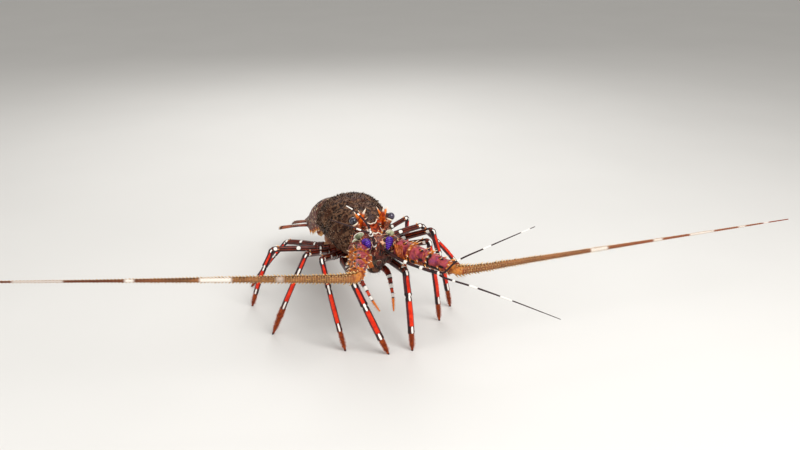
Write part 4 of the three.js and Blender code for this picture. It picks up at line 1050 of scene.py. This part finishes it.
spinule_material = graded("spinule", "6e421a", 0.4, (0.1, 0.6, "deb478"))
for side, spec in ANTENNAE.items():
    root, end = np.array(spec["root"], float), np.array(spec["end"], float)
    line = unit(end - root)
    foot = end + line * 0.3
    points = [foot, foot + line * 5, *spec["lash"]]
    total, knot_at = paced(points, 0, 5, 3001)
    ways = np.linspace(0, total, int(total / LASH_RINGS) * 3)
    knots = knot_at(ways)
    size = np.interp(knots, range(6), LASH_RADII) * (1 + 0.035 * np.cos(ways / LASH_RINGS * 2 * math.pi))
    rings, angle = sleeve(points, knots, size, size, UP, 20)
    whip = skin(f"antenna_{side}_whip", rings, ways / total, angle)
    settle(whip, "antenna_lash", whip_finish(side), f"antenna_{side}_lash")
    knots = knot_at(np.arange(SPINULE_START, total - SPINULE_STOP, SPINULE_GAP))
    centre, ahead = course(points, knots)
    size = np.interp(knots, range(6), LASH_RADII)
    upward = unit(UP - ahead * (ahead @ UP)[:, None])
    sideways = np.cross(ahead, upward)
    roots, aims, lengths = [], [], []
    for row, (degrees, grade) in enumerate(SPINULE_ROWS):
        out = upward * math.sin(math.radians(degrees)) + sideways * math.cos(math.radians(degrees))
        roots.append(centre + out * size[:, None] * 0.86 + ahead * (row % 3) * 0.63)
        aims.append(out + ahead * 0.6)
        lengths.append(size * grade * np.array([vary(0.25) for _ in knots]) + 0.4)
    lengths = np.concatenate(lengths)
    spines(f"antenna_{side}_spinules", "antenna_lash", spinule_material, np.vstack(roots), np.vstack(aims),
           np.tile(ahead, (len(SPINULE_ROWS), 1)), lengths, lengths * 0.3, sides=5, steps=2, bend=0.75)

# Under the head are the jaws, two hard pale domes that meet in the middle, here coloured near black
# with brown clouds as painted shade, and in front of them the last mouth legs: slim, banded white
# and red with orange brushes on their tips.
JAW_LEVELS = ((6.5, 7.0, 64.9), (6.4, 6.9, 63.0), (6.0, 6.2, 60.0), (4.9, 4.8, 57.6), (3.4, 3.0, 56.5))
MOUTH_LEGS = {
    "left": ((4.5, -26, 58), (6, -35, 56), (13, -52, 52), (13, -62, 42), (11.5, -70, 36.5), (11, -73, 26.5)),
    "right": ((-4.5, -26, 58), (-6, -35, 56), (-12, -52, 52.5), (-9.5, -64, 45.5), (-7.5, -70, 40),
              (-1.5, -74, 29)),
}
MOUTH_LEG_RADII = (2.8, 2.8, 2.5, 1.6, 1.25, 0.6)
MOUTH_JOINTS = (0.12, 0.5, 0.66, 0.81)
MOUTH_BANDS = ((0.06, 0.1), (0.42, 0.46), (0.56, 0.63), (0.73, 0.79))
BRUSH_AT = 0.78
knots = np.linspace(0, 4, 40)
wide, deep, z = course(JAW_LEVELS, knots)[0].T[..., None]
turn = np.linspace(0, 2 * math.pi, 64, endpoint=False)
cleft = 1 - 0.16 * peak(np.cos(turn), 0, 0.12) * (np.sin(turn) < 0)
rings = np.stack([wide * np.cos(turn) * cleft, MOUTH_Y + deep * np.sin(turn) * cleft,
                  np.broadcast_to(z, (40, 64))], -1)
jaws = skin("jaws", rings, knots / 4, turn, coat=np.interp(knots, (0, 1, 3.2, 3.6), (0, 1, 1, 0))[:, None])
# Painted shade: the jaws are near black with brown clouds.
jaw_material = Finish("jaw", "200d0a", 0.4).cloud(260.0, 3.0, 0.42, 0.64, "7a4c34").done()
settle(jaws, "underside", jaw_material, "mouth")
bristles("jaw_bristles", "underside", felt_material, jaws, 0.75, 0.9, 2.4, 0.09, (0, -0.2, -0.8), 57,
         bend=0.6)

mouth_finish = Finish("mouth_leg", "4a1414", 0.4).cloud(300.0, 3.0, 0.4, 0.6, "a03018")
along = mouth_finish.place()[0]
mouth_finish.lay(along.step(0.55, 0.6), "d8421c").lay(along.step(0.79, 0.82), "f0842c")
for low, high in MOUTH_BANDS:
    mouth_finish.lay(along.band(low - 0.015, high + 0.015, 0.005), "14070a")
    mouth_finish.lay(along.band(low, high, 0.004), "f6f0e8")
mouth_material = mouth_finish.done(bump=(500.0, 2.0))
brush_material = graded("orange_brush", "a8401a", 0.6, (0.0, 0.9, "e0963e"))
for side, path in MOUTH_LEGS.items():
    total, knot_at = paced(path, 1, 5, 900)
    share = np.linspace(0, 1, 110)
    knots = knot_at(share * total)
    size = np.interp(knots, range(6), MOUTH_LEG_RADII) * np.interp(knots, (2, 3), (1, 0.88))
    for joint in MOUTH_JOINTS:
        size = size * (1 - 0.16 * peak(share, joint, 0.008) + 0.05 * peak(share, joint - 0.025, 0.015))
    rings, angle = sleeve(path, knots, size, size * 1.05, ACROSS, 24)
    leg = skin(f"mouth_leg_{side}", rings, share, angle, coat=(0.1 + 0.9 * (share > BRUSH_AT))[:, None])
    settle(leg, "leg_upper", mouth_material, f"maxilliped_{side}")
    bristles(f"mouth_brush_{side}", "leg_upper", brush_material, leg, 0.55, 1.2, 2.6, 0.09,
             (0, -0.3, -1.0), 61, bend=0.5)

# Ten walking legs. Each has a hip ring and a thigh, dark maroon with pale lines and white bands,
# then wrist, hand and horny toe: bright red in front, dark behind, white at the joints, the toe
# thick with rust-coloured bristles.
HIP_FRONT = np.array([11, -20, 57.0])
HIP_STEP = np.array([2.6, 9.5, -1])
HIP_FAN = (-35, -20, 0, 15, 30)
HIP_DEPTH = 6.0
COXA_LENGTH = 6.0
KNEE_BEND = 7.0
LEGS = (  # pair, side, foot, thigh, shank, girth, lean of the leg's plane in degrees
    (1, RIGHT, (-1, -94), 60, 65, 1, 30), (2, RIGHT, (-32, -77), 62, 78, 0.8, 18),
    (3, RIGHT, (-81, -30), 61, 81, 0.78, -28), (4, RIGHT, (-87, 27), 50, 60, 0.76, -10),
    (5, RIGHT, (-80, 66), 48, 55, 0.68, 38), (1, LEFT, (19, -95), 60, 65, 1, -2),
    (2, LEFT, (59, -55), 62, 78, 0.8, 12), (3, LEFT, (78, -34), 61, 81, 0.78, 16),
    (4, LEFT, (118, 25), 58, 70, 0.76, -18), (5, LEFT, (64, 46), 50, 58, 0.68, 6),
)
LEG_SIZES = np.array([  # half width and half height at each point of a leg's line
    [3.6, 3.6], [3.6, 4], [3.2, 3.7], [2.8, 3.6], [2.7, 3.4], [2.8, 3.2], [2.7, 3.1],
    [2.9, 3.2], [2.5, 2.7], [2.8, 3], [2.6, 2.7], [2.3, 2.4], [0.9, 0.9],
])
LEG_SIDES = 28
SHANK_POINTS = ((0.3, 1.6), (0.31, 1.6), (0.56, 2), (0.78, 1.2), (0.79, 1.2))  # share and bow
FOOT_RADIUS = 0.9
THIGH_BANDS = ((0.155, 0.19), (0.52, 0.59), (0.92, 0.975))
SHANK_BANDS = ((-0.1, 0.04), (0.255, 0.365), (0.69, 0.795))
BAND_PLACES = (0.31, 0.795)
USUAL_PLACES = (0.31, 0.775)
OWN_PLACES = {"right_3": (0.18, 0.655)}
KNEE_THORNS = (  # how far up and aside, distance, length, girth
    (1, 0, 2.7, 4.9, 1.05), (0.5, 0.85, 2.5, 3.2, 0.75), (0.5, -0.85, 2.5, 3.2, 0.75),
)


def leg_path(pair, side, foot, thigh, shank, lean):
    """The points from inside the breast to the toe, and the directions aside and out of the knee."""
    step = pair - 1
    hip = (HIP_FRONT + HIP_STEP * step) * [side, 1, 1]
    toe = np.array([*foot, 0.0])
    reach = np.linalg.norm(toe - hip)
    line = (toe - hip) / reach
    near = (thigh ** 2 - shank ** 2 + reach ** 2) / (2 * reach)
    rise = math.sqrt(thigh ** 2 - near ** 2)
    upright = unit(UP - line * line[2])
    sideways = np.cross(line, upright)
    angle = math.radians(lean)
    outward = upright * math.cos(angle) + sideways * math.sin(angle)
    knee = hip + line * near + outward * rise
    fan = math.radians(HIP_FAN[step])
    out = unit(np.array([side * math.cos(fan), math.sin(fan), -0.1]))
    coxa = hip + out * COXA_LENGTH

    def along(a, b, share, bow):
        return a + (b - a) * share + outward * bow

    points = [hip - out * HIP_DEPTH, hip, coxa, along(coxa, knee, 0.5, 1),
              along(coxa, knee, 1 - KNEE_BEND / thigh, 0.8), knee, along(knee, toe, KNEE_BEND / shank, 0.6),
              *(along(knee, toe, share, bow) for share, bow in SHANK_POINTS), toe]
    return points, sideways * math.cos(angle) - upright * math.sin(angle), outward


def leg_finish(name, is_thigh):
    """Stripe in front, dark sides, white bands bordered black. The stripe lies where place Y is high."""
    finish = Finish(name, "2c0f18", 0.35).cloud(220.0, 3.0, 0.35, 0.65, "5c2a34")
    along, front, _ = finish.place()
    if is_thigh:
        finish.lay(0.6, "180808")
        finish.lay(front.step(-0.1, 0.4), finish.patches(260.0, 3.0, 0.4, 0.6, "200707", "460e06"))
        for line in (0.9, 0.45, -0.3):
            finish.lay(front.band(line - 0.03, line + 0.03, 0.02) * 0.85, "a84022")
        bands, width = THIGH_BANDS, 0.75
    else:
        edge = 0.91 - 0.14 * along.step(0.33, 0.39) + 0.08 * along.step(0.1, 0.02)
        finish.lay((front - edge + 0.09).step(-0.04, 0.04), "12060a")
        red = finish.patches(300.0, 3.0, 0.4, 0.6, "d01c00", "ea3204")
        finish.lay((front - edge).step(-0.025, 0.025), red)
        finish.lay(along.step(0.785, 0.8), finish.patches(400.0, 3.0, 0.35, 0.65, "7a2604", "b44a0c"))
        finish.lay(along.step(0.975, 0.995), "2e120c")
        bands, width = SHANK_BANDS, 0.94
    for low, high in bands:
        finish.lay(along.band(low, high, 0.004) * 0.9, "14070b")
        oval = ((along * 2.0 - (low + high)) / (high - low)) ** 2.0 + ((1.0 - front) / (1 - width)) ** 2.0
        finish.lay(oval.step(1.0, 0.8), "fbf6ee")
    return finish.done(bump=(500.0, 3.0))


LEG_PARTS = (  # part, node and slot, knots, joints, how far each end draws in, material
    ("thigh", "upper", (1, 5), (0.13, 0.24), (0.88, 0.8), leg_finish("thigh_shell", True)),
    ("shank", "lower", (5, 12), (0.315, 0.79), (0.8, 1.0), leg_finish("shank_shell", False)),
)
rust_material = graded("rust_bristle", "782404", 0.6, (0.0, 0.9, "ca5c16"))
hips = []
for pair, side, foot, thigh, shank, girth, lean in LEGS:
    label = ("left" if side == LEFT else "right") + f"_{pair}"
    points, across, outward = leg_path(pair, side, foot, thigh, shank, lean)
    sizes = LEG_SIZES * girth
    sizes[:3] = LEG_SIZES[:3] * (0.2 + 0.8 * girth)
    sizes[-1] = FOOT_RADIUS
    share = np.linspace(0, 1, 120)
    front = unit(outward * 0.5 + FORWARD * 0.9 + UP * 0.1)
    for part, node, (first, last), joints, rims, material in LEG_PARTS:
        total, knot_at = paced(points, first, last, 1400)
        knots = knot_at(share * total)
        wide, high = (np.interp(knots, range(13), sizes[:, n]) for n in range(2))
        tuck = np.ones(len(share))
        for joint in joints:
            tuck = tuck - 0.22 * peak(share, joint, 0.009) + 0.07 * peak(share, joint - 0.03, 0.02)
        tuck = tuck * rounded(share, np.ones(len(share)), *rims)
        bulge = tuck[:, None] * (1 + 0.03 * np.cos(4 * circle(LEG_SIDES)))
        rings, angle = sleeve(points, knots, wide, high, across, LEG_SIDES, bulge)
        rings[..., 2] = np.maximum(rings[..., 2], 0.0)
        if part == "shank":
            rings[-1, :, 2] = 0.0
        facing = unit(rings - rings.mean(1, keepdims=True)) @ front
        around = np.arccos(np.clip(facing / np.abs(facing).max(1, keepdims=True), -1, 1))
        slot = "leg_" + node
        if part == "thigh":
            piece = skin(f"leg_{label}_thigh", rings, share, around)
            settle(piece, slot, material, f"leg_{label}_{node}")
            continue
        mark = np.interp(share, (0, *OWN_PLACES.get(label, USUAL_PLACES), 1), (0, *BAND_PLACES, 1))
        coat = np.interp(mark, (0, 0.3, 0.785, 0.8, 0.96, 0.975), (0.02, 0.03, 0.06, 1, 1, 0))
        tall = np.interp(mark, (0.79, 0.83, 0.9, 0.94, 0.97), (0.5, 0.7, 1.2, 1.2, 0.7))
        piece = skin(f"leg_{label}_shank", rings, mark, around, coat[:, None], tall[:, None])
        settle(piece, slot, material, f"leg_{label}_{node}")
        bristles(f"leg_{label}_bristles", slot, rust_material, piece, 0.33, 0.9, 1.9, 0.11, (0, 0, 0),
                 70 + pair, bend=0.5)
    knee = points[4]
    ahead = unit(points[4] - points[3])
    above = unit(np.cross(across, ahead))
    above = above if above[2] > 0 else -above
    beside = unit(np.cross(ahead, above))
    roots = [knee + (above * up + beside * aside) * far * girth for up, aside, far, _, _ in KNEE_THORNS]
    aims = [above + ahead * 0.9, above * 0.4 + beside + ahead, above * 0.4 - beside + ahead]
    lengths, girths = (np.array([thorn[3:] for thorn in KNEE_THORNS]) * girth).T
    spines(f"leg_{label}_thorns", "leg_upper", amber_material, roots, aims, ahead, lengths, girths, bend=1.0)
    hip = points[1]
    hips.append(straight("hip", hip + (hip - points[2]) * 0.9, hip, sizes[[0, 1], 0] * 1.02, sides=24))

# The breast plate closes the shell underneath: a pale brown wedge, broad behind, with a shallow
# groove between the seats of the legs.
BREAST = ((-32, 8, 0), (-26, 9, 0), (-18, 10.5, 0), (0, 15, 0), (20, 20, 0), (28, 18.5, 0))  # y, half width
BREAST_OUTLINE = ((1, 0, 0), (1, -2, 0), (1, -5, 0), (0.86, -8.8, 0), (0.45, -10.8, 0), (0.08, -10.6, 0),
                  (0, -9.8, 0))
BREAST_RISE = 1.2
LEG_SPACING = 9.5
knots = np.linspace(0, 5, 90)
y, half, _ = course(BREAST, knots)[0].T[..., None]
outline, _ = course(BREAST_OUTLINE, np.linspace(0, 6, 31))
outline = np.vstack([outline, outline[-2::-1] * [-1, 1, 1]])
ridge = 1 + 0.05 * np.cos((y + 20) / LEG_SPACING * 2 * math.pi)
x = outline[:, 0] * half
rings = np.stack([x, np.broadcast_to(y, x.shape), belly_height(y) + BREAST_RISE + outline[:, 1] * ridge], -1)
breast = skin("breast_plate", rings, knots / 5, np.linspace(0, math.pi, len(outline)))
breast_finish = Finish("breast_shell", "6e3c26", 0.55).cloud(150.0, 4.0, 0.38, 0.62, "b07c58")
breast_finish.cloud(260.0, 2.0, 0.6, 0.68, "5a241a")
mouth_hips = [straight("hip", path[0], path[1], (2.8, 2.9), sides=20) for path in MOUTH_LEGS.values()]
breast = joined("breast_shell", [breast, *hips, *mouth_hips])
settle(breast, "underside", breast_finish.done(bump=(420.0, 3.0)), "breast")

# Six rings make the tail. Each slides under the one before it, so its front is smooth and
# narrower; the rear part has a groove, a pale hem, hooked side flaps and leaf-shaped swimmerets.
TAIL_START = np.array([0, 32.3, 74.0])
TAIL_SLOPES = (0, 14, 24, 30, 32, 28, 18)
TAIL_WIDTHS = (21.5, 21.5, 21, 20, 18.5, 16.5, 14.5)
TAIL_BACKS = (14.5, 14, 13.4, 12.4, 11.2, 9.8, 8.2)
TAIL_FLAPS = (13, 14, 14, 13.4, 12.4, 10.8, 8)
TAIL_LENGTHS = (10, 15, 15, 15, 15, 17)
TAIL_RISES = (  # share of a ring, its height there
    (0, 0.9), (0.14, 0.93), (0.22, 0.995), (0.5, 1.0), (0.57, 0.975), (0.62, 0.995), (0.9, 1.005),
    (0.96, 1.02), (1, 1.0),
)
FLANK = ((-0.97, -0.25, 0), (-0.97, -0.6, 0), (-0.9, -0.88, 0), (-0.84, -1, 0), (-0.77, -0.9, 0),
         (-0.66, -0.72, 0), (-0.4, -0.66, 0), (0, -0.66, 0))
FLAP_HOOKS = ((0.6, 7.1), (0.3, 3.0), (0.85, 2.6))  # share of a ring, length
SWIMMERET_ROW = 17
SWIMMERET_LENGTH, SWIMMERET_WIDTH, SWIMMERET_THICKNESS = 11.0, 4.2, 0.55
SWIMMERET_OUTLINE = ((-0.1, 0.3), (0.3, 0.8), (0.6, 1), (0.85, 0.7), (1, 0.15))


def tail_joint(index):
    """Centre, backward direction and upward direction at a joint of the tail."""
    centre = TAIL_START.copy()
    for i in range(index):
        slope = math.radians((TAIL_SLOPES[i] + TAIL_SLOPES[i + 1]) / 2)
        centre = centre + np.array([0, math.cos(slope), -math.sin(slope)]) * TAIL_LENGTHS[i]
    slope = math.radians(TAIL_SLOPES[index])
    cosine, sine = math.cos(slope), math.sin(slope)
    return centre, np.array([0, cosine, -sine]), np.array([0, sine, cosine])


tail_finish = Finish("tail_shell", "2c130f", 0.45, specular=0.16).cloud(120.0, 5.0, 0.36, 0.64, "6b3020")
along, aside, _ = tail_finish.place()
tail_finish.lay(along.step(0.3, 0.22), "8a4a30")
tail_finish.lay(tail_finish.cells(260.0).step(0.3, 0.2) * aside.size().step(0.15, 0.5), "e2c7a0")
tail_finish.lay(along.band(0.56, 0.6, 0.012), "1a0b0a").lay(along.band(0.9, 0.945, 0.012), "1a0b0a")
tail_finish.lay(along.step(0.95, 0.965), "d8a878")
tail_material = tail_finish.done(bump=(420.0, 4.0))
leaf_finish = Finish("swimmeret", "7a3020", 0.5)
leaf_material = leaf_finish.lay(leaf_finish.place()[0].step(0.55, 0.95), "e8b070").done()
share = np.linspace(0, 1, 56)
lift = np.interp(share, *zip(*TAIL_RISES))[:, None]
over = np.linspace(0, math.pi, 65)
flank = course(FLANK, np.linspace(0, 7, 36))[0]
flank = np.vstack([flank, flank[-2::-1] * [-1, 1, 1]])
arch_x = np.sign(np.cos(over)) * np.abs(np.cos(over)) ** 0.85
around = np.concatenate([over, math.pi + (np.arange(len(flank)) + 1) / (len(flank) + 1) * math.pi])
coat = (share > 0.93)[:, None] * (np.sin(around) > -0.9)
for index in range(6):
    (front, front_back, front_up), (rear, _, rear_up) = tail_joint(index), tail_joint(index + 1)
    half, height, flap = (np.interp(share, (0, 1), values[index:index + 2])[:, None]
                          for values in (TAIL_WIDTHS, TAIL_BACKS, TAIL_FLAPS))
    notch = 0.86 + 0.14 * np.sin(share * math.pi)[:, None] ** 0.5
    x = np.concatenate([half * arch_x, half * flank[:, 0]], 1) * lift
    z = np.concatenate([height * np.sin(over), flap * flank[:, 1] * notch], 1) * lift
    centre = front + (rear - front) * share[:, None]
    upward = unit(front_up + (rear_up - front_up) * share[:, None])
    rings = centre[:, None] + ACROSS * x[..., None] + upward[:, None] * z[..., None]
    ring = skin(f"tail_ring_{index + 1}", rings, share, around, coat=coat)
    for side, sign in SIDES if 0 < index < 5 else ():
        root = front + (rear - front) * 0.3 + ACROSS * (half[SWIMMERET_ROW] * 0.42 * sign)
        root = root - front_up * flap[SWIMMERET_ROW] * 0.6
        line = unit(front_back * 0.6 - front_up)
        spans = np.linspace(-0.1, 1, 30)[:, None]
        wide = np.interp(spans, *zip(*SWIMMERET_OUTLINE)) * SWIMMERET_WIDTH
        turn = np.linspace(0, 2 * math.pi, 24, endpoint=False)
        rings = (root + line * (spans * SWIMMERET_LENGTH)[..., None]
                 + ACROSS * (wide * np.cos(turn))[..., None]
                 + np.cross(line, ACROSS) * (SWIMMERET_THICKNESS * np.sin(turn))[:, None])
        leaf = skin(f"swimmeret_{side}_{index + 1}", rings, np.clip(spans, 0, 1), turn)
        settle(leaf, "tail", leaf_material)
    settle(ring, "tail", tail_material, f"abdomen_{index + 1}")
    bristles(f"tail_fringe_{index + 1}", "tail", felt_material, ring, 0.7, 0.8, 1.6, 0.07, front_back * 1.6,
             90 + index, bend=0.3)
    roots, lengths = [], []
    for side in (LEFT, RIGHT):
        for place, length in FLAP_HOOKS:
            wide, low = (np.interp(place, (0, 1), values[[0, -1], 0]) for values in (half, flap))
            spot = front + (rear - front) * place + ACROSS * side * 0.84 * wide
            roots.append(spot - front_up * low * 0.8)
            lengths.append(length)
    lengths = np.array(lengths)
    spines(f"tail_hooks_{index + 1}", "tail", amber_material, roots, -front_up + front_back * 0.35,
           front_back, lengths, lengths * 0.24, sides=9, steps=6, bend=1.5)

# The tail fan opens flat behind the last ring: five blades, hard and spiny at the root, then soft
# and finely rayed, red-brown with a pale hem and a fringe of hairs.
FAN = (  # node, side, place beside the middle, drop, degrees of splay, length, half width at root and tip
    ("telson", LEFT, 0, 0, 0, 36, 6.5, 9.5),
    ("uropod_inner_left", LEFT, 7.5, 2.7, 17, 36, 2.6, 8),
    ("uropod_inner_right", RIGHT, 7.5, 2.7, 17, 36, 2.6, 8),
    ("uropod_outer_left", LEFT, 10.5, 5.8, 40, 38, 2.4, 9),
    ("uropod_outer_right", RIGHT, 10.5, 5.8, 40, 38, 2.4, 9),
)
BLADE_THICKNESS = 1.4
BLADE_RAYS = 13
fan_finish = Finish("fan_shell", "4a1a12", 0.45).cloud(110.0, 4.0, 0.36, 0.64, "96452a")
along, aside, _ = fan_finish.place()
rays = (aside * (BLADE_RAYS * math.pi)).sine() * 0.5 + 0.5
fan_finish.lay(rays * along.step(0.35, 0.6) * 0.7, "d08a55")
fan_finish.lay(along.band(0.84, 0.9, 0.015), "1e0c0a").lay(along.step(0.93, 0.97), "ecd2a8")
fan_material = fan_finish.done(bump=(420.0, 3.0))
fan_centre, fan_back, fan_up = tail_joint(6)
for node, side, offset, drop, splay, length, root, tip in FAN:
    angle = math.radians(splay * side)
    ahead = fan_back * math.cos(angle) + ACROSS * math.sin(angle)
    wide = ACROSS * math.cos(angle) - fan_back * math.sin(angle)
    base = fan_centre + ACROSS * offset * side + fan_up * (2 - drop)
    span = np.linspace(-1, 1, 79)
    share = np.concatenate([np.linspace(0, 0.9, 40), np.linspace(0.91, 1, 14)])[:, None]
    corner = np.where(share > 0.9, np.sqrt(1 - ((share - 0.9) / 0.1) ** 2 * 0.45), 1)
    half = (root + (tip - root) * np.sin(share * math.pi / 2)) * corner
    thick = BLADE_THICKNESS * (1.4 - 0.85 * share) / 2
    crease = 0.22 * np.cos(span * BLADE_RAYS * math.pi) * np.clip((share - 0.25) * 3, 0, 1)
    crease = crease + 0.7 * peak(span, 0, 0.09) * (1 - share) ** 0.7
    spot = base + wide * (half * span)[..., None]
    short = (0.1 - (spot - fan_centre) @ fan_back) / (ahead @ fan_back)
    reach = short * (1 - share) + length * share * (1 - 0.1 * span ** 2)
    droop = -2.5 * share ** 2 * span ** 2
    edge = np.sqrt(np.clip(1 - span ** 8, 0, 1))
    lift = thick * (0.25 + 0.75 * edge) + np.maximum(crease, -0.2) * edge
    spot = spot + ahead * reach[..., None]
    upper, lower = (spot + fan_up * (sign * lift + droop)[..., None] for sign in (1, -1))
    round_span = np.concatenate([span, span[::-1]])
    coat = np.clip((share > 0.955) * 1.0 + (np.abs(round_span) > 0.97) * (share > 0.3), 0, 1)
    rings = np.concatenate([upper, lower[:, ::-1]], 1)
    blade = skin(node + "_blade", rings, share[:, 0], np.arccos(np.clip(round_span, -1, 1)), coat=coat)
    settle(blade, "fan", fan_material, node)
    bristles(node + "_blade_fringe", "fan", felt_material, blade, 0.55, 0.9, 1.9, 0.06, ahead * 2.5, 120,
             bend=0.2)
    roots = []
    for place in np.linspace(0.25, 0.49, 5):
        out = wide * (root + (tip - root) * math.sin(place * math.pi / 2)) * 0.55
        roots.extend(base + out * sign + ahead * length * place + fan_up * 0.3 for sign in (1, -1))
    spines(node + "_blade_prickles", "fan", amber_material, roots, fan_up * 0.8 + ahead, ahead, 1.8, 0.4,
           sides=6, steps=4)
